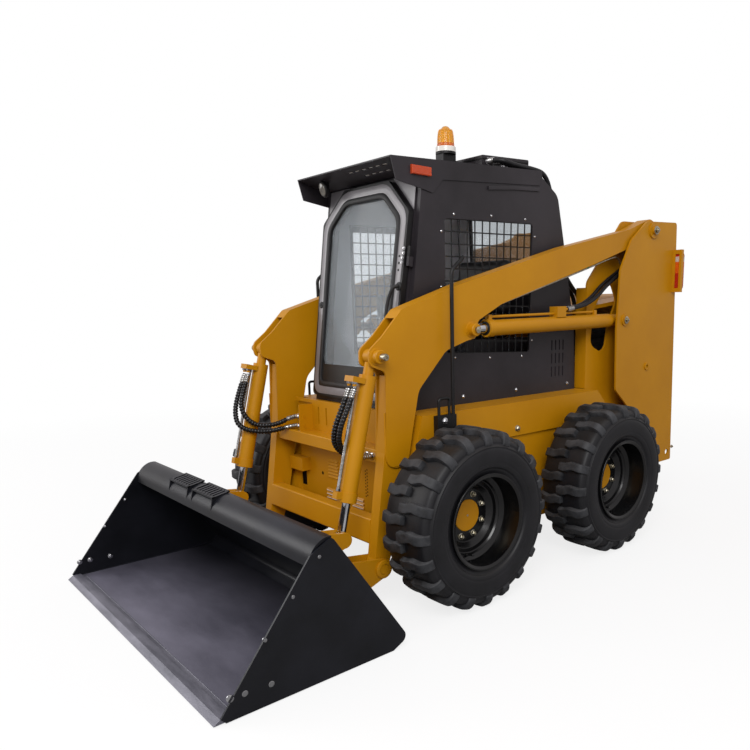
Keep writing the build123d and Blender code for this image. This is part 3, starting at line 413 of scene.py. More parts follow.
# The radiator behind the door: a black frame of tanks and posts round rows of fins.
radiator_black = finish("radiator_black", "black_paint", ((14, 14, 15), (26, 26, 27)), 0.5, patch=12.0,
                        bump=0.15, dust=0.1)
bars = [panel(x, (1556, low), (1556, high), (0, deep, 0)) for x, low, high, deep in (
    ((-310, 310), 575, 650, 48), ((-310, 310), 1180, 1260, 48), ((-310, -280), 650, 1180, 48),
    ((280, 310), 650, 1180, 48), ((-270, -210), 520, 576, 66), ((210, 270), 520, 576, 66))]
piece("radiator_frame", bars, radiator_black)
fins = [panel((x, x + 1.6), (1568, 649), (1568, 1181), (0, 26, 0)) for x in np.linspace(-279, 277, 62)]
fins += [panel((-281, 281), (1572, z), (1572, z + 5), (0, 18, 0)) for z in np.linspace(672, 1150, 20)]
piece("radiator_fins", fins, cast_iron)

# On the hood: fixing bolts, the fuel filler's cap and a short exhaust pipe.
hood_up = (0.0, -0.124, 0.992)
hood_bolts = [shell for x in (-405, 405) for y in (979, 1229, 1479)
              for shell in bolt((x, y, 1350 + (y - 869) * 0.125), hood_up, 16, 8)]
piece("hood_bolts", hood_bolts, zinc_plate)
piece("fuel_cap", [turned([(-3, 0), (-3, 50), (4, 50), (6, 44), (16, 44), (18, 47), (36, 47), (40, 43),
                           (40, 0)], (-330, 979, 1364), hood_up, 40)], guard_plastic)
scorched_steel = finish("scorched_steel", "steel", ((52, 45, 42), (98, 86, 78)), 0.5, patch=9.0, metal=0.7,
                        bump=0.2)
piece("exhaust_pipe", [turned([(-4, 0), (-4, 36), (8, 36), (10, 28), (112, 28), (112, 24.5), (20, 24.5),
                               (20, 0)], (336, 1419, 1419), (0, 0, 1), 36)], scorched_steel)


# ---- Wheels ----
# Twelve-inch-wide pneumatic tyres with deep staggered lugs on black pressed rims. Eight zinc nuts
# hold each rim on the ochre hub flange, and a short valve stands in the rim's well.
tread_rubber = finish("tread_rubber", "tyre_rubber", ((26, 27, 30), (56, 57, 60)), 0.6, patch=16.0,
                      spread=0.1, grain=200.0, bump=0.5, dust=0.12, specular=0.35, fallen=(120, 118, 118))
sidewall_rubber = finish("sidewall_rubber", "tyre_rubber", ((12, 12, 15), (23, 23, 27)), 0.5, patch=7.0,
                         spread=0.08, grain=300.0, bump=0.2, dust=0.03, specular=0.35)
rim_black = finish("rim_black", "black_paint", ((6, 6, 7), (13, 13, 14)), 0.22, patch=6.0, bump=0.05,
                   specular=0.45)
lug_count, bolt_circle = 20, 101.5
wheel_places = [("fl", 1, front_axle), ("fr", -1, front_axle), ("rl", 1, rear_axle), ("rr", -1, rear_axle)]


def eased(points, times=3):
    """Cut the corners of a line: each run gives its points at one and three quarters, ends stay."""
    points = np.array(points, float)
    for _ in range(times):
        a, b = points[:-1], points[1:]
        cut = np.stack([0.75 * a + 0.25 * b, 0.25 * a + 0.75 * b], 1).reshape(-1, points.shape[1])
        points = np.concatenate([points[:1], cut, points[-1:]])
    return points


def carcass():
    """The tyre's section of (distance from its middle plane, radius) turned about the axle, with
    rings on the sidewall as smooth bumps along the section's normal."""
    half = eased([(0, 387), (60, 387), (96, 386), (122, 381), (134, 366), (141, 345), (148.6, 318),
                  (148.6, 280), (142, 250), (128, 232), (124, 222), (122, 211)])
    ahead = np.gradient(half, axis=0)
    normal = np.stack([-ahead[:, 1], ahead[:, 0]], -1) / np.linalg.norm(ahead, axis=1)[:, None]
    for radius, width, rise_by in ((352, 5, 2.5), (340, 2.5, -2.5), (334, 3, 1.2), (268, 3, 1.6),
                                   (240, 5, 3)):
        bump = rise_by * np.exp(-((half[:, 1] - radius) / width) ** 2) * (half[:, 0] > 100)
        half = half - normal * bump[:, None]
    inner = eased([(98, 209), (120, 240), (130, 300), (100, 358), (0, 362)])
    section = np.concatenate([half[::-1], half[1:] * (-1, 1), inner * (-1, 1), inner[-2::-1]])
    return turned([tuple(row) for row in section], (0, 0, 0), (1, 0, 0), 144)


def tread():
    """Lugs of both rows. A lug's points are (distance from the middle, radius, way round): stations
    run from the middle out over the shoulder between the carcass and the tips, and across each one
    the section climbs a steep flank, crosses the flat top and comes down the other flank."""
    tips = np.array([(-16, 384), (-14, 400), (-11, 410), (4, 411), (20, 411), (38, 411), (56, 411),
                     (74, 410.6), (92, 410), (108, 408), (120, 402), (130, 392), (138, 378), (143, 364),
                     (144, 354), (140, 346)])
    roots = np.array([(-14, 380), (-13, 380), (-12, 380), (4, 380), (20, 380), (38, 380), (56, 380),
                      (74, 380), (92, 379), (106, 377), (114, 372), (122, 366), (130, 356), (134, 350),
                      (136, 346), (136, 345)])
    low_edge = eased([(-20, -18), (0, -24), (24, -27), (50, -17), (70, -10), (92, -16), (120, -19),
                      (150, -21)])
    high_edge = eased([(-20, 12), (0, 14), (18, 12), (40, 20), (62, 27), (90, 22), (112, 21), (150, 20)])
    flank = np.array([(7, -0.1), (5, 0.35), (2.5, 0.8), (0, 0.96), (-4, 1.0)])
    low = np.interp(tips[:, 0], *low_edge.T)[:, None] - flank[:, 0]
    high = np.interp(tips[:, 0], *high_edge.T)[:, None] + flank[::-1, 0]
    crown = low[:, -1:] + (high[:, :1] - low[:, -1:]) * np.array([0.25, 0.5, 0.75])
    way = np.concatenate([low, crown, high], axis=1)
    share = np.concatenate([flank[:, 1], [0.985, 1.0, 0.985], flank[::-1, 1]])[None, :, None]
    section = roots[:, None] + (tips - roots)[:, None] * share
    lug = np.concatenate([section, way[..., None]], axis=-1)
    ends = [np.repeat(lug[[n]].mean(axis=1, keepdims=True), lug.shape[1], axis=1) for n in (0, -1)]
    lug = np.concatenate([ends[0], lug, ends[1]])
    shells = []
    for side, first in ((1, 0.0), (-1, 0.5)):
        angle = (np.arange(lug_count) + first)[:, None, None] * 2.0 * math.pi / lug_count
        angle = angle + side * lug[..., 2] / 400.0
        x = np.broadcast_to(side * lug[..., 0], angle.shape)
        placed = np.stack([x, lug[..., 1] * np.sin(angle), lug[..., 1] * np.cos(angle)], -1) / 1000.0
        _, faces = woven(placed[0], wrap_v=True)
        starts = np.arange(lug_count)[:, None, None] * lug.shape[0] * lug.shape[1]
        shells.append((placed.reshape(-1, 3), (faces + starts).reshape(-1, 4)))
    return shells


carcass_shell, lug_shells = carcass(), tread()
for tag, side, y in wheel_places:
    body = f"wheel_{tag}"
    place = np.array([side * 731, y, axle_height]) / 1000.0
    half_turn = np.array([side, side, 1.0])
    casing = piece(f"tyre_casing_{tag}", [(carcass_shell[0] * half_turn + place, carcass_shell[1])],
                   sidewall_rubber, body, 40.0)
    lugs = [(points * half_turn + place, faces) for points, faces in lug_shells]
    lugs = piece(f"tyre_lugs_{tag}", lugs, tread_rubber, body, 40.0)
    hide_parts(f"tyre_{tag}")
    dress(rim_black, f"rim_{tag}")
    dress(yellow_paint, f"hub_{tag}")
    nuts = [turned([(0, 0), (0, 5), (2, 5), (2.4, 3), (2.4, 0)], (side * 728, y, axle_height),
                   (side, 0, 0), 16)]
    for angle in np.radians(22.5 + 45 * np.arange(8)):
        spot = (side * 723, y + bolt_circle * math.cos(angle), axle_height + bolt_circle * math.sin(angle))
        nuts += bolt(spot, (side, 0, 0), 21, 14, 15)
    piece(f"wheel_nuts_{tag}", nuts, zinc_plate, body)
    piece(f"valve_{tag}", [turned([(-6, 0), (-6, 9), (4, 8), (8, 5), (30, 4.5), (32, 5.5), (44, 5.5),
                                   (46, 4), (46, 0)], (side * 762, y - 40, axle_height - 172),
                                  (side, 0.06, 0.22), 16)], rim_black, body)


# ---- Cab shell ----
# A welded box of folded steel in satin graphite paint: side panels, roof with a slotted visor, and
# a flat roof box for the air conditioner. Flat-bar mesh is screwed behind each side window.
cab_paint = finish("cab_paint", "cab_paint", ((29, 26, 29), (47, 43, 47)), 0.42, patch=1.8, spread=0.08,
                   grain=600.0, bump=0.06, dust=0.03, specular=0.34)
mesh_black = finish("mesh_black", "black_paint", ((9, 9, 10), (19, 18, 19)), 0.45, patch=8.0, bump=0.1,
                    specular=0.35)
dress(cab_paint, "cab_sides", "cab_roof", "cab_rear_wall", "cab_front_frame", "visor", "ac_unit", "cab_floor")
dress(mesh_black, "side_grilles", "mirror_poles", "beacon_base")


def carried(path, section, up, wrap=False):
    """A section of (sideways, upwards) offsets carried along a path in millimetres; sideways is
    square to the path and to up. Open ends shrink to a point."""
    path, section, up = np.array(path, float), np.array(section, float), np.array(up, float)
    ahead = (np.roll(path, -1, axis=0) - np.roll(path, 1, axis=0)) if wrap else np.gradient(path, axis=0)
    out = np.cross(ahead, up)
    out /= np.linalg.norm(out, axis=1)[:, None]
    grid = path[:, None] + section[None, :, :1] * out[:, None] + section[None, :, 1:] * up
    if not wrap:
        grid = np.concatenate([grid[:1].mean(axis=1, keepdims=True) + grid[:1] * 0, grid,
                               grid[-1:].mean(axis=1, keepdims=True) + grid[-1:] * 0])
    return woven(grid / 1000.0, wrap_u=wrap, wrap_v=True)


window_corners = np.array([(188, 1130), (188, 1770), (828, 1791), (806, 1106)], float)
a, b, c, d = window_corners
mesh_bars = []
for side in (1, -1):
    for x, count, first, last in ((378.5, 13, (a, b), (d, c)), (380.5, 12, (a, d), (b, c))):
        for share in np.linspace(0.0, 1.0, count):
            low, high = np.array(first) + share * (np.array(last) - first)
            reach = (high - low) / np.linalg.norm(high - low) * 24
            bar = [(side * x, y + front_axle, z) for y, z in (low - reach, (low + high) / 2, high + reach)]
            mesh_bars.append(carried(bar, [(-3, -2), (3, -2), (3, 2), (-3, 2)], (1, 0, 0)))
mesh_bars = piece("side_window_mesh", mesh_bars, mesh_black)
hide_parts("side_grilles")

# Screws all round each window, standing back from its edge, and bolts along the cab's foot.
around_window = np.concatenate([a + (b - a) * np.array([[0.12], [0.5], [0.88]])
                                for a, b in zip(window_corners, np.roll(window_corners, -1, axis=0))])
away = around_window - window_corners.mean(axis=0)
around_window += away / np.linalg.norm(away, axis=1)[:, None] * 26
screw = [(-1, 0), (-1, 6.5), (0.8, 6.5), (2.6, 5), (3.6, 2.6), (3.2, 1.2), (3.2, 0)]
screws = [shell for y, z in around_window for shell in outward(screw, 390, y + front_axle, z, 14)]
screws += bolt_pairs(*((390, y + front_axle, 905, 13, 7) for y in (-66, 300, 700, 1150)))
piece("cab_side_screws", screws, bright_steel)
clamp_bolts = bolt_pairs((574, -413, 782, 20, 9, 17), (574, -413, 832, 20, 9, 17))
piece("mirror_clamp_bolts", clamp_bolts, bright_steel)

# Folded drip strip under the roof's edge, with its lower flap, and the roof box's lid seam.
strips = [carried([(side * 393, 60, 1938), (side * 393, 250, 1958), (side * 393, 450, 1970)],
                  [(-3, -9), (-3, 9), (3, 9), (5, 4), (5, -9)], (0, 0, 1)) for side in (1, -1)]
piece("roof_drip_strips", strips, cab_paint)
lid = [(-283, 176, 2120), (-283, 540, 2141), (233, 540, 2141), (233, 176, 2120)]
lid = np.concatenate([eased([a, (np.array(a) + b) / 2, b], 1) for a, b in zip(lid, [*lid[1:], lid[0]])])
piece("roof_box_lid_seam", [carried(lid[:-1], [(-2.5, -3), (2.5, -3), (2.5, 3), (-2.5, 3)], (0, 0, 1),
                                    wrap=True)], mesh_black, "chassis")

fittings = [shell for y in (227, 275) for shell in bolt((230, y, 2110), (1, 0, 0), 26, 12, 20)]
fittings += [turned([(-3, 0), (-3, 9), (6, 9), (8, 6), (16, 6), (17, 4), (17, 0)],
                    (231, y, 2092), (1, 0, 0.15), 16) for y in (330, 372, 420, 476)]
piece("coolant_fittings", fittings, bright_steel, "chassis")


# ---- Lamps and beacon ----
# Moulded plastic lenses: amber markers on the visor's cheeks, three-colour tail lamps in slotted
# channels, a work lamp under the visor, and an amber beacon with a ribbed dome on a clear ring.
def lens(name, bands, rough, clear, rib):
    """Tinted ribbed plastic whose colour steps with height: bands of (height in metres, colour)."""
    low, high = 1.0, 2.4
    material = finish(name, "amber", (bands[0][1], bands[0][1]), rough, patch=30.0, spread=0.04, bump=0.05,
                      coat=0.3)
    tree = material.node_tree
    place = shade(tree, "TexCoord", "Object")
    height = shade(tree, "SeparateXYZ", "Z", {"Vector": place})
    height = shade(tree, "MapRange", "Result", {"Value": height, "From Min": low, "From Max": high})
    steps = shade(tree, "ValToRGB", "Color", {"Fac": height})
    ramp = steps.node.color_ramp
    ramp.interpolation = "CONSTANT"
    for n, (level, colour) in enumerate(bands):
        stop = ramp.elements[n] if n < 2 else ramp.elements.new(0.5)
        stop.position = (level - low) / (high - low)
        stop.color = linear(*colour)
    ribs = shade(tree, "TexWave", "Fac", {"Vector": place, "Scale": rib}, bands_direction="Z")
    raised = shade(tree, "Bump", "Normal", {"Height": ribs, "Strength": 0.5, "Distance": 0.002})
    wire(tree.nodes["Principled BSDF"], {"Base Color": steps, "Normal": raised, "Transmission Weight": clear})
    return material


red, orange = (196, 26, 14), (236, 96, 14)
lamp_bands = [(1.0, red), (1.555, orange), (1.625, (220, 206, 200)), (1.66, red), (1.8, (226, 78, 22))]
lamp_plastic = lens("lamp_plastic", lamp_bands, 0.18, 0.35, 60.0)
beacon_amber = lens("beacon_amber", [(1.0, (228, 112, 12)), (2.2, (248, 172, 26))], 0.1, 0.4, 38.0)
dress(lamp_plastic, "lamps")
reflectors = [turned([(-1, 0), (-1, 30), (4, 30), (6, 26), (6, 0)], (side * 487, 1671, 760),
                     (0, 1, 0.045), 36) for side in (1, -1)]
piece("rear_reflectors", reflectors, lamp_plastic)
dress(beacon_amber, "beacon_lens")
smoked_glass = finish("smoked_glass", "glass", ((84, 80, 74), (122, 117, 108)), 0.16, patch=30.0, bump=0.1,
                      coat=0.3)
# Pale clear plastic for the beacon's ring, also used to paint the light seen through the visor's slots.
clear_plastic_and_slot_light = finish("clear_plastic_and_slot_light", "glass", ((226, 222, 214), (240, 238, 232)), 0.2, patch=20.0, bump=0.04,
                    coat=0.3)
beacon_foot = (60, 79)
piece("beacon_collar", [turned([(-2, 51.2), (-2, 53.5), (22, 53.5), (24, 52), (24, 51.2), (-2, 51.2)],
                               (*beacon_foot, 2161), (0, 0, 1), 56)], clear_plastic_and_slot_light)
flutes = []
for out in np.insert(circle(24), 2, 0.0, axis=1):
    flute = [(*beacon_foot, 2160 + z) + out * r for z, r in ((34, 44.4), (60, 43), (96, 40.4), (112, 34))]
    flutes.append(carried(eased(flute, 2), 1.3 * circle(6), np.cross(out, (0, 0, 1))))
piece("beacon_flutes", flutes, beacon_amber)

# The visor's slots show the bright sky above them, so pale strips in both rows of six paint that light.
slot_lights = []
for share, first in ((0.3, 0), (0.62, 62)):
    y, z = np.array([-552.0, 2007.4]) + share * np.array([165.0, -42.0])
    slot_lights += [panel((x + 0.5, x + 35.5), (y - 5.5, z + 1.4), (y + 5.5, z - 1.4), (0, 0, 2))
                for x in first + 54 * np.arange(6)]
piece("visor_slot_painted_light", slot_lights, clear_plastic_and_slot_light)


def work_lamp(profile):
    """A profile turned about the lamp's axis, oval, where the work lamp hangs and shines."""
    points, faces = turned(profile, (0, 0, 0), (0, 0, 1), 40)
    out = np.array([0.0, -0.955, -0.296])
    axes = np.array([(1.0, 0.0, 0.0), np.cross(out, (1.0, 0.0, 0.0)), out])
    return points * (0.85, 1.1, 0.9) @ axes + (-0.244, -0.478, 1.955), faces


stalk = carried([(-244, -470, 1950), (-244, -470, 1970), (-244, -470, 1992)],
                [(-14, -3), (14, -3), (14, 3), (-14, 3)], (0, 1, 0))
shell = work_lamp([(-4, 0), (-4, 30), (6, 36), (20, 36), (26, 32), (26, 0)])
piece("work_lamp_body", [shell, stalk], mesh_black)
lamp_front = work_lamp([(25, 0), (25, 29), (29, 27), (33, 16), (34, 0)])
piece("work_lamp_glass", [lamp_front], smoked_glass)


# ---- Cab inside ----
# A pale sheet lining on the walls and under the roof. A sprung seat with two foam cushions in black
# vinyl stands between two long steering levers with rubber boots and grips.
pale_lining = finish("pale_lining", "cab_paint", ((212, 211, 214), (230, 229, 232)), 0.55, patch=3.0,
                     grain=500.0, bump=0.08)
lining = []
for side in (1, -1):
    around = np.array([(8, 960), (70, 1950), (965, 1975), (1000, 960)], float)
    hole = np.array([(156, 1098), (156, 1802), (862, 1825), (838, 1074)], float)
    rings = [np.insert(edge + (front_axle, 0), 0, side * x, axis=1)
             for edge, x in ((around, 359), (hole, 359), (hole, 356.5), (around, 356.5))]
    lining.append(woven(np.stack(rings) / 1000.0, wrap_u=True, wrap_v=True))
lining.append(panel((-356, 356), (-361, 1986), (539, 2034), (0, 0, 2)))
lining.append(panel((-356, 356), (551, 1893), (546, 1985), (0, -2, 0)))
lining += [panel(x, (580, 1330), (551, 1893), (0, -2, 0)) for x in ((-356, -262), (262, 356))]
piece("cab_lining", lining, pale_lining)
vinyl = finish("seat_vinyl", "seat_vinyl", ((20, 20, 22), (34, 34, 36)), 0.5, patch=12.0, grain=1400.0,
               bump=0.5, specular=0.4)
boot_rubber = finish("boot_rubber", "black_paint", ((16, 16, 17), (30, 30, 31)), 0.6, patch=30.0, bump=0.3)


def cushion(name, middle, size, crown, lean, channels):
    """A padded block: a finely divided box with rounded edges, whose top rises by crown in the
    middle and is pressed in along its sewn channels."""
    sheet = bmesh.new()
    bmesh.ops.create_cube(sheet, size=2.0)
    bmesh.ops.subdivide_edges(sheet, edges=sheet.edges, cuts=30, use_grid_fill=True)
    mesh = bpy.data.meshes.new(name)
    sheet.to_mesh(mesh)
    sheet.free()
    half = np.array(size) / 2.0
    flat = places(mesh) * half
    inner = half - np.minimum(half, 34.0)
    core = np.clip(flat, -inner, inner)
    away = flat - core
    reach = np.linalg.norm(away, axis=1)[:, None]
    flat = core + np.where(reach > 0, away / np.maximum(reach, 1e-9), 0.0) * np.minimum(reach, 34.0)
    u, v = flat[:, 0] / half[0], flat[:, 1] / half[1]
    top = flat[:, 2] > 0
    flat[:, 2] += top * crown * (1.0 - u ** 2) * (1.0 - v ** 2)
    for line in channels:
        flat[:, 2] -= top * 7.0 * np.exp(-((v - line) / 0.035) ** 2) * (np.abs(u) < 0.9)
    cos, sin = math.cos(lean), math.sin(lean)
    tilt = np.array([(1, 0, 0), (0, cos, sin), (0, -sin, cos)])
    mesh.vertices.foreach_set("co", ((flat @ tilt + middle) / 1000.0).ravel())
    mesh.materials.append(vinyl)
    return linked(name, mesh)


def applied(pad, modifier):
    """Turn a modifier of the pad into its own shape."""
    with bpy.context.temp_override(object=pad, active_object=pad, selected_objects=[pad]):
        bpy.ops.object.modifier_apply(modifier=modifier)
    return places(pad.data)


def inflate(pad, voxel=0.006, reach=0.009):
    """Fill a pad as foam fills its cover: remesh it, let it settle as cloth under pressure for
    twenty frames without weight, and keep each point within reach of where it began."""
    remesh = pad.modifiers.new("even", "REMESH")
    remesh.mode = "VOXEL"
    remesh.voxel_size = voxel
    bpy.context.view_layer.objects.active = pad
    start = applied(pad, "even")
    cloth = pad.modifiers.new("filled", "CLOTH")
    cloth.settings.use_pressure = True
    cloth.settings.uniform_pressure_force = 4.0
    cloth.settings.effector_weights.gravity = 0.0
    for step in range(1, 21):
        bpy.context.scene.frame_set(step)
    step = applied(pad, "filled") - start
    bpy.context.scene.frame_set(1)
    far = np.linalg.norm(step, axis=1)[:, None]
    step *= np.minimum(1.0, reach / np.maximum(far, 1e-9))
    pad.data.vertices.foreach_set("co", (start + step).ravel())
    pad.data.update()
    pad.data.shade_smooth()


squab = cushion("seat_cushion", (0, 244, 1231), (432, 436, 84), 8, 0.0, (-0.34, 0.3))
backrest = cushion("seat_backrest", (0, 420, 1466), (416, 320, 84), 6, math.radians(-96), (-0.5, -0.05, 0.4))
for pad, node in ((squab, "seat_squab"), (backrest, "seat_back")):
    inflate(pad)
    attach(pad, "chassis")
    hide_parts(node)

boots, rods = [], []
for side in (1, -1):
    z = np.linspace(0, 88, 23)
    width = 44 - 0.33 * z + 4.0 * np.sin(z / 88 * math.pi * 9)
    profile = [(0, 0), *zip(z.tolist(), width.tolist()), (88, 0)]
    boots.append(turned(profile, (side * 280, -91, 866), (side * 0.02, -0.06, 1), 32))
    stick = eased([(side * 280, -91, 930), (side * 281, -96, 1050), (side * 284, -104, 1180),
                   (side * 289, -118, 1320), (side * 290, -121, 1412)], 2)
    rods.append(carried(stick, 9 * circle(14), (side, 0, 0)))
    boots.append(turned([(0, 0), (0, 13), (8, 17), (30, 15), (60, 17.5), (90, 15), (112, 18), (124, 14),
                         (128, 0)], (side * 289, -118, 1300), (0, -0.03, 1), 24))
boots = piece("lever_boots_and_grips", boots, boot_rubber)
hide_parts("controls")
piece("steering_levers", rods, mesh_black)


# ---- Front door ----
# A leaning steel frame with a black outer edge, a pale painted band, and one large pane held in a
# black rubber gasket. It hangs on two pins at the machine's left, with a bent grab handle.
door_glass = finish("cab_glass", "glass", ((198, 204, 208), (214, 220, 224)), 0.04, patch=1.2, spread=0.02,
                    bump=0.0)
wire(door_glass.node_tree.nodes["Principled BSDF"], {"Transmission Weight": 0.8, "IOR": 1.12})
pale_band = finish("pale_band", "cab_paint", ((110, 107, 110), (134, 131, 134)), 0.36, patch=3.0,
                   grain=500.0, bump=0.05, coat=0.2)
gasket_rubber = finish("gasket_rubber", "black_paint", ((14, 14, 15), (28, 28, 29)), 0.55, patch=20.0,
                       grain=800.0, bump=0.2)
dress(mesh_black, "door_frame")
dress(door_glass, "door_glass", "rear_glass")

door_foot = np.array([0.0, -529.0, 892.0])
door_lean = math.atan2(152, 1058)
door_up = np.array([0.0, math.sin(door_lean), math.cos(door_lean)])
door_out = np.array([0.0, -math.cos(door_lean), math.sin(door_lean)])


def on_door(x, height, depth=28.0):
    """A point on the door, in millimetres, from its sideways place, height and depth."""
    return np.array([x, 0.0, 0.0]) + door_foot + height * door_up + depth * door_out


def door_loop(inset):
    """The door's outline drawn in by inset, with eased corners, as points on its front face."""
    corners = np.array([(-345, 0), (345, 0), (362, 905), (186, 1062), (-186, 1062), (-362, 905)], float)
    ahead = np.roll(corners, -1, axis=0) - corners
    ahead /= np.linalg.norm(ahead, axis=1)[:, None]
    behind = np.roll(ahead, 1, axis=0)
    normal, other = np.stack([-ahead[:, 1], ahead[:, 0]], -1), np.stack([-behind[:, 1], behind[:, 0]], -1)
    mitre = (normal + other) / (1.0 + (normal * other).sum(axis=1))[:, None]
    corners = corners + mitre * inset
    length = np.linalg.norm(np.roll(corners, -1, axis=0) - corners, axis=1)[:, None]
    cut = np.minimum(42.0, 0.4 * length)
    starts, ends = corners + ahead * cut, np.roll(corners, -1, axis=0) - ahead * cut
    t = np.linspace(0.0, 1.0, 9)[None, :, None]
    bends = (np.roll(ends, 1, axis=0)[:, None] * (1 - t) ** 2 + corners[:, None] * 2 * t * (1 - t)
             + starts[:, None] * t ** 2).reshape(-1, 2)
    return door_foot + bends[:, :1] * (1.0, 0.0, 0.0) + bends[:, 1:] * door_up


def ring_on_door(inset, section):
    """A section of (inwards, outwards) offsets carried round the door's outline."""
    return carried(door_loop(inset), section, door_out, wrap=True)


trims = [slab([on_door(side * x, height, -4.8) for x, height in ((358, 918), (358, 1078), (184, 1078))],
              1.3 * door_out) for side in (1, -1)]
piece("cab_corner_trims", trims, pale_band)
band = ring_on_door(32, [(-20, 26), (-20, 29.4), (-18, 30), (18, 30), (20, 29.4), (20, 26)])
piece("door_pale_band", [band], pale_band, "front_door")
seal = ring_on_door(66, [(-13, 26), (-12, 33), (-7, 36), (8, 36), (14, 32), (16, 22), (16, 17.3), (-4, 17.3)])
inner_seal = ring_on_door(66, [(-10, 2), (-9, -3), (8, -3), (16, 4), (16, 10.8), (-4, 10.8)])
piece("door_gasket", [seal, inner_seal], gasket_rubber, "front_door")
grip_path = eased([on_door(336, 560, 24), on_door(336, 560, 44), on_door(322, 548, 56),
                   on_door(300, 486, 61), on_door(296, 400, 61), on_door(296, 300, 59),
                   on_door(296, 262, 50), on_door(296, 258, 24)])
handle = [turned([(0, 0), (0, 20), (4, 20), (6, 15), (6, 0)], on_door(x, height), door_out)
          for x, height in ((336, 560), (296, 258))]
handle.append(carried(grip_path, 8.5 * circle(14), (1, 0, 0)))
piece("door_grab_handle", handle, gasket_rubber, "front_door")
studs = [turned([(0, 0), (0, 6), (2.5, 5), (3.5, 2), (3.5, 0)], on_door(324, height, 29.5), door_out, 14)
         for height in (636, 668, 700)]
piece("door_band_studs", studs, gasket_rubber, "front_door")
hinge_bolts = [shell for height in (190, 214, 712, 734) for spot in ((352, height), (346, height - 44))
               for shell in bolt(on_door(*spot), door_out, 11, 6)]
piece("door_hinge_bolts", hinge_bolts, bright_steel, "front_door")
piece("door_lock", [turned([(0, 0), (0, 17), (5, 17), (8, 14), (8, 7), (12, 6), (12, 0)],
                           on_door(-318, 480), door_out, 28)], gasket_rubber, "front_door")


# ---- Lift arms ----
# Two bent box arms of folded plate, joined by a cross tube below and the hose shelf above. Steel
# pins, each held by a bolted washer, carry the cylinders; bosses are welded round them.
dress(yellow_paint, "arm_booms", "arm_legs", "lower_crossmember", "shelf")
lift_base, lift_pin = (1073.0, 1270.0), (-192.0, 1246.0)
tilt_pin, tilt_eye = (-757.0, 1147.0), (-953.0, 368.0)
boss_weld = [(-2, 33), (0, 38), (3, 37), (4, 33), (-2, 33)]
arm_seams = outward(boss_weld, 526, *lift_pin, 40) + outward(boss_weld, 526, *tilt_pin, 40)
arm_seams += outward([(-2, 59), (0, 65), (4, 63), (5, 59), (-2, 59)], 526, 1350, 1807, 48)
arm_bolts = outward([(0, 0), (0, 16), (12, 16), (14, 13), (14, 0)], 566, *lift_pin, 32)
arm_bolts += outward([(-30, 0), (-30, 16), (0, 16), (26, 16), (30, 13), (30, 5), (24, 4), (24, 0)],
                     566, *tilt_pin, 32)
for side in (1, -1):
    tongue = eased([(side * 526.5, y + front_axle, z) for y, z in
                    ((-300, 900), (-302, 716), (-290, 660), (-236, 640), (-182, 660), (-152, 790),
                     (-128, 900))])
    arm_seams.append(carried(tongue, [(-3.2, -7), (-2.2, -3), (0, -1.6), (2.2, -3), (3.2, -7)], (side, 0, 0)))
    pipe_run = eased([(side * 500, y + front_axle, z) for y, z in
                      ((470, 1372), (700, 1434), (1215, 1576), (1400, 1630), (1470, 1640), (1500, 1600))], 2)
    arm_bolts.append(carried(pipe_run, 6 * circle(14), (side, 0, 0)))
piece("arm_pin_bolts", arm_bolts, zinc_plate, "arms")
tape_green = finish("tape_green", "steel", ((20, 120, 52), (34, 150, 70)), 0.4, patch=30.0, bump=0.1)
piece("arm_pipe_tape", [turned([(0, 6.2), (0, 7.6), (18, 7.6), (18, 6.2), (0, 6.2)], (500, 742, 1566.5),
                               (0, 0.964, 0.266), 20)], tape_green, "arms")
collar = [(-30, 17), (-30, 30), (0, 30), (3, 27), (3, 17), (-30, 17)]
collars = outward(collar, 562, *lift_pin, 36) + outward(collar, 556, *tilt_pin, 36)
piece("arm_pin_collars", collars, yellow_paint, "arms")
piece("arm_weld_seams", arm_seams, yellow_paint, "arms")
sleeve = [(8, 0), (8, 19.5), (14, 21), (24, 21), (26, 18), (30, 18), (32, 20.5), (44, 20.5), (48, 17.5),
          (50, 0)]
couplings = [turned(sleeve, (-236, -671, z), (-49, -12, -6), 28) for z in (749, 799)]
couplings += [turned([(2, 0), (2, 17.5), (12, 17.5), (14, 14), (14, 0)], (x, -714, 692), (0, -1, 0), 6)
              for x in (384, 420)]
piece("shelf_couplings", couplings, bright_steel, "arms")


# ---- Cylinders ----
# Honed tubes in the machine's paint with screwed glands and hard-chromed rods. A welded block on
# each tube takes both hoses, and a steel pipe feeds its far end.
cylinder_x = 486.0
chrome = finish("hard_chrome", "chrome", ((186, 188, 192), (222, 224, 228)), 0.1, patch=20.0, spread=0.03,
                metal=1.0, bump=0.02)
for tag in ("l", "r"):
    dress(yellow_paint, f"lift_barrel_{tag}", f"tilt_barrel_{tag}")
    dress(chrome, f"lift_rod_{tag}", f"tilt_rod_{tag}")


def wiper_ring(base, eye, end, radius, side):
    """A dark seal with a polished lip where the rod leaves its gland, along the cylinder's axis."""
    aim = np.array([0.0, eye[0] - base[0], eye[1] - base[1]]) / math.dist(base, eye)
    mouth = np.array([side * cylinder_x, *base]) + aim * end
    return turned([(-2, radius + 0.6), (-2, radius + 9), (1.5, radius + 9), (4, radius + 4),
                   (4, radius + 0.6), (-2, radius + 0.6)], mouth, aim, 40)


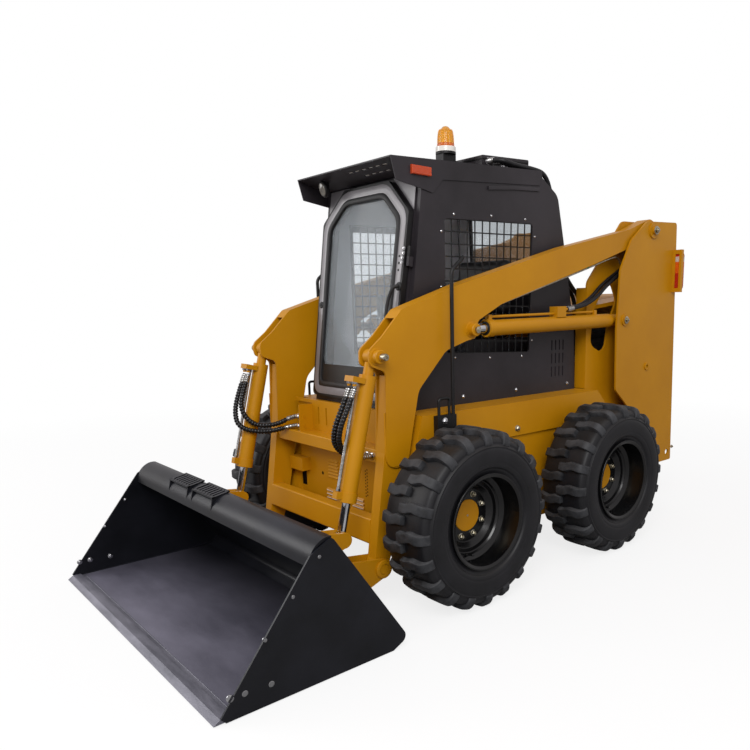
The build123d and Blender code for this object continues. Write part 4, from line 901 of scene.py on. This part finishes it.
for side, tag in ((1, "l"), (-1, "r")):
    lift = wiper_ring(lift_base, lift_pin, 1130, 25, side)
    tilt = wiper_ring(tilt_pin, tilt_eye, 639, 20, side)
    piece(f"lift_gland_seal_{tag}", [lift], gasket_rubber, f"lift_barrel_{tag}")
    piece(f"tilt_gland_seal_{tag}", [tilt], gasket_rubber, f"tilt_barrel_{tag}")
    aim, off = np.array([(0.0, -196.0, -779.0), (0.0, -779.0, 196.0)]) / math.hypot(196, 779)
    base = np.array([side * cylinder_x, *tilt_pin])
    nuts = [turned([(0, 0), (0, 13), (9, 13), (10, 10), (12, 10), (12, 0)],
                   base + aim * 121 + off * 78 + (x, 0, 0), (0, 0, -1), 6) for x in (-20, 20)]
    piece(f"tilt_port_nuts_{tag}", nuts, bright_steel, f"tilt_barrel_{tag}")
    feed = [base + aim * distance + off * 55 for distance in (126, 300, 450, 594)]
    pipe = [turned([(0, 0), (0, 10.5), (12, 10.5), (13, 8), (13, 0)], at, way, 6)
            for at, way in ((feed[0], aim), (feed[-1], -aim))]
    pipe.append(carried(feed, 7.8 * circle(14), (1, 0, 0)))
    piece(f"tilt_feed_pipe_{tag}", pipe, plated_steel, f"tilt_barrel_{tag}")


# ---- Bucket ----
# A wide dirt bucket of rolled plate in blue-black paint, with a ground cutting edge, slotted steps
# on its folded lip and the quick coupler's ochre frame behind. Its floor is scuffed to grey.
bucket_paint = finish("bucket_paint", "bucket_paint", ((12, 13, 17), (23, 24, 30)), 0.36, patch=3.0,
                      spread=0.1, grain=500.0, bump=0.08, dust=0.04, specular=0.26, fallen=(120, 122, 138))
edge_steel = finish("edge_steel", "bucket_paint", ((84, 84, 94), (128, 127, 138)), 0.42, patch=9.0,
                    spread=0.12, metal=0.3, bump=0.15, stretch=(0.4, 2.0, 2.0))
dress(bucket_paint, "bucket_shell", "bucket_steps")
dress(edge_steel, "cutting_edge")
dress(yellow_paint, "coupler")

# The floor's wear: bare grey at the edge, darkening towards the back with painted shade.
worn_floor_and_shade = finish("worn_floor_and_shade", "bucket_paint", ((70, 69, 80), (112, 110, 124)), 0.46, patch=1.3,
                    spread=0.1, grain=420.0, bump=0.1, stretch=(0.6, 1.6, 1.0), specular=0.35)
tree, shader = worn_floor_and_shade.node_tree, worn_floor_and_shade.node_tree.nodes["Principled BSDF"]
depth = shade(tree, "SeparateXYZ", "Y", {"Vector": shade(tree, "TexCoord", "Object")})
# Towards the back the grey fades to a near-black that paints the shade under the bucket's back.
back_shade = {"Value": depth, "From Min": -1.5, "From Max": -1.0, "To Max": 0.85}
back_shade = shade(tree, "MapRange", "Result", back_shade)
scuffed = shader.inputs["Base Color"].links[0].from_socket
wire(shader, {"Base Color": blended(tree, back_shade, scuffed, linear(18, 19, 24))})
piece("bucket_floor_wear_and_shade", [panel((-873, 873), (-1640, 11.5), (-985, 11.5), (0, 0, 1.2))], worn_floor_and_shade,
      "bucket")
piece("bucket_edge_strip", [panel((-873, 873), (-1661, 11.5), (-1640, 11.5), (0, 0, 1.6))], edge_steel,
      "bucket")

outside = eased([(-1238, 546.5), (-1264, 548), (-1294, 536), (-1320, 512), (-1334, 484), (-1338, 452)])
inside = eased([(-1330, 454), (-1326, 482), (-1312, 504), (-1290, 524), (-1262, 536), (-1240, 538)])
roll = np.concatenate([outside, inside]) * (-1, 1)
piece("bucket_rolled_lip", [carried([(-873.5, 0, 0), (873.5, 0, 0)], roll, (0, 0, 1))], bucket_paint,
      "bucket")

treads = []
for middle in (-330, -60):
    for first, last in ((0.0, 0.16), (0.84, 1.0)):
        near, far = (np.array([-1238.0, 557.0]) + share * np.array([-84.0, -16.0]) for share in (first, last))
        treads.append(panel((middle - 110, middle + 110), near, far, (0, -1.1, -6)))
    for x, wide in ((0, 15), *((34 + 28.5 * n, 14) for n in range(6)), (205, 15)):
        x += middle - 110
        treads.append(panel((x, x + wide), (-1238, 557), (-1322, 541), (0, -1.0, -5.6)))
    for x in (middle - 110, middle + 104):
        treads.append(slab([(x, -1240, 552), (x, -1321, 537), (x, -1333, 484), (x, -1318, 505)], (6, 0, 0)))
treads = piece("bucket_slotted_steps", treads, bucket_paint, "bucket")
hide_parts("bucket_steps")

# The side plates' bolts as (y, z, flats): real heads inside, and flush ones in the paint outside.
side_bolts = [(-1296, 484, 11), (-1408, 366, 11), (-1521, 244, 11), (-1657, 82, 18), (-1607, 82, 18),
              (-1510, 77, 18)]
bucket_bolts = [shell for side in (1, -1) for y, z, flats in side_bolts
                for shell in bolt((side * 874, y, z), (-side, 0, 0), flats, 7, flats * 0.72)]
piece("bucket_side_bolts", bucket_bolts, bright_steel, "bucket")


def inlaid(material, heads, beyond):
    """Show plated bolt heads, flush with the plate, in a paint where it lies further out than
    beyond: each head is (y, z, radius) and has a pressed-in rim."""
    tree, shader = material.node_tree, material.node_tree.nodes["Principled BSDF"]
    place = shade(tree, "SeparateXYZ", "X", {"Vector": shade(tree, "TexCoord", "Object")}).node.outputs
    flat = shade(tree, "CombineXYZ", "Vector", {"Y": place["Y"], "Z": place["Z"]})
    nearest = 99.0
    for y, z, radius in heads:
        apart = {0: flat, 1: (0.0, y / 1000.0, z / 1000.0)}
        apart = shade(tree, "VectorMath", "Value", apart, operation="DISTANCE")
        nearest = computed(tree, "MINIMUM", nearest, computed(tree, "DIVIDE", apart, radius / 1000.0))
    outer = computed(tree, "GREATER_THAN", computed(tree, "ABSOLUTE", place["X"]), beyond / 1000.0)
    shown = computed(tree, "MULTIPLY", computed(tree, "LESS_THAN", nearest, 1.0), outer)
    domed = {"Value": nearest, "From Min": 1.15, "From Max": 0.75}
    domed = shade(tree, "MapRange", "Result", domed, interpolation_type="SMOOTHSTEP")
    paint, normal = (shader.inputs[name].links[0].from_socket for name in ("Base Color", "Normal"))
    raised = shade(tree, "Bump", "Normal", {"Height": computed(tree, "MULTIPLY", domed, outer),
                                            "Normal": normal, "Strength": 0.8, "Distance": 0.002})
    wire(shader, {"Base Color": blended(tree, shown, paint, linear(150, 150, 152)), "Metallic": shown,
                  "Normal": raised})


inlaid(bucket_paint, [(y, z, flats * 0.62) for y, z, flats in side_bolts], 881.5)
piece("bucket_edge_weld", [welded((-873, -1640, 12.5), (873, -1640, 12.5), 5)], edge_steel, "bucket")
pin_collars = outward([(-2, 24), (-2, 40), (2, 43), (8, 43), (10, 40), (10, 24), (-2, 24)],
                      536, -766, 193, 40)
piece("bucket_collars_and_seams", pin_collars, yellow_paint, "bucket")
corner_seams = []
for side in (1, -1):
    corner = eased([(side * 873, y + front_axle, z) for y, z in
                    ((-1215, 13), (-570, 13), (-520, 40), (-500, 62), (-818, 530))], 2)
    corner_seams.append(carried(corner, 3.5 * circle(8), (side, 0, 0)))
piece("bucket_corner_seams", corner_seams, bucket_paint, "bucket")


# ---- Floor and light ----
# A white studio floor and a plain soft sky, one broad lamp from the front left and a weaker one
# from the right. The floor keeps the machine's shadow.
world = bpy.data.worlds.new("studio_world")
bpy.context.scene.world = world
world.use_nodes = True
tree = world.node_tree
seen = shade(tree, "LightPath", "Is Camera Ray")
direct = computed(tree, "MAXIMUM", seen, seen.node.outputs["Is Transmission Ray"])
soft_sky = wire(tree.nodes["Background"], {"Color": (1.0, 0.96, 0.97, 1.0), "Strength": 0.66})
white_sky = shade(tree, "Background", "Background", {"Color": (1.0, 1.0, 1.0, 1.0)})
sky = shade(tree, "MixShader", "Shader", {"Fac": direct, 1: soft_sky.outputs[0], 2: white_sky})
wire(tree.nodes["World Output"], {"Surface": sky})

# The floor is white where it is seen and grey to the light it throws back, and it glows far off.
floor_white = bpy.data.materials.new("floor_white")
floor_white.use_nodes = True
tree = floor_white.node_tree
seen = shade(tree, "LightPath", "Is Camera Ray")
tone = blended(tree, seen, (0.36, 0.36, 0.36, 1.0), (0.9, 0.9, 0.9, 1.0))
matt = wire(tree.nodes["Principled BSDF"], {"Roughness": 0.9, "Base Color": tone})
glow = shade(tree, "Emission", "Emission", {"Strength": 1.0})
distance = shade(tree, "VectorMath", "Value", {0: shade(tree, "TexCoord", "Object")}, operation="LENGTH")
far_off = {"Value": distance, "From Min": 2.2, "From Max": 7.0, "To Min": 0.8}
share = computed(tree, "MULTIPLY", seen, shade(tree, "MapRange", "Result", far_off))
surface = shade(tree, "MixShader", "Shader", {"Fac": share, 1: matt.outputs["BSDF"], 2: glow})
wire(tree.nodes["Material Output"], {"Surface": surface})
disc = 26.0 * np.linspace(0.0, 1.0, 40)[:, None, None] * circle(96)
points, faces = woven(np.insert(disc, 2, -0.0015, axis=2), wrap_v=True)
ground = bpy.data.meshes.new("studio_floor")
ground.from_pydata(points.tolist(), [], faces.tolist())
ground.materials.append(floor_white)
linked("studio_floor", ground)

for name, spot, aim, size, power in (
        ("key_lamp", (4.6, -4.2, 5.2), (0.2, -0.3, 0.9), 3.6, 330.0),
        ("fill_lamp", (-4.5, -5.0, 3.0), (0.0, -0.5, 0.8), 3.0, 110.0)):
    lamp = linked(name, bpy.data.lights.new(name, "AREA"))
    lamp.data.size = size
    lamp.data.energy = power
    lamp.location = spot
    lamp.rotation_euler = (Vector(spot) - Vector(aim)).to_track_quat("Z", "Y").to_euler()
bpy.context.scene.view_settings.view_transform = "Standard"
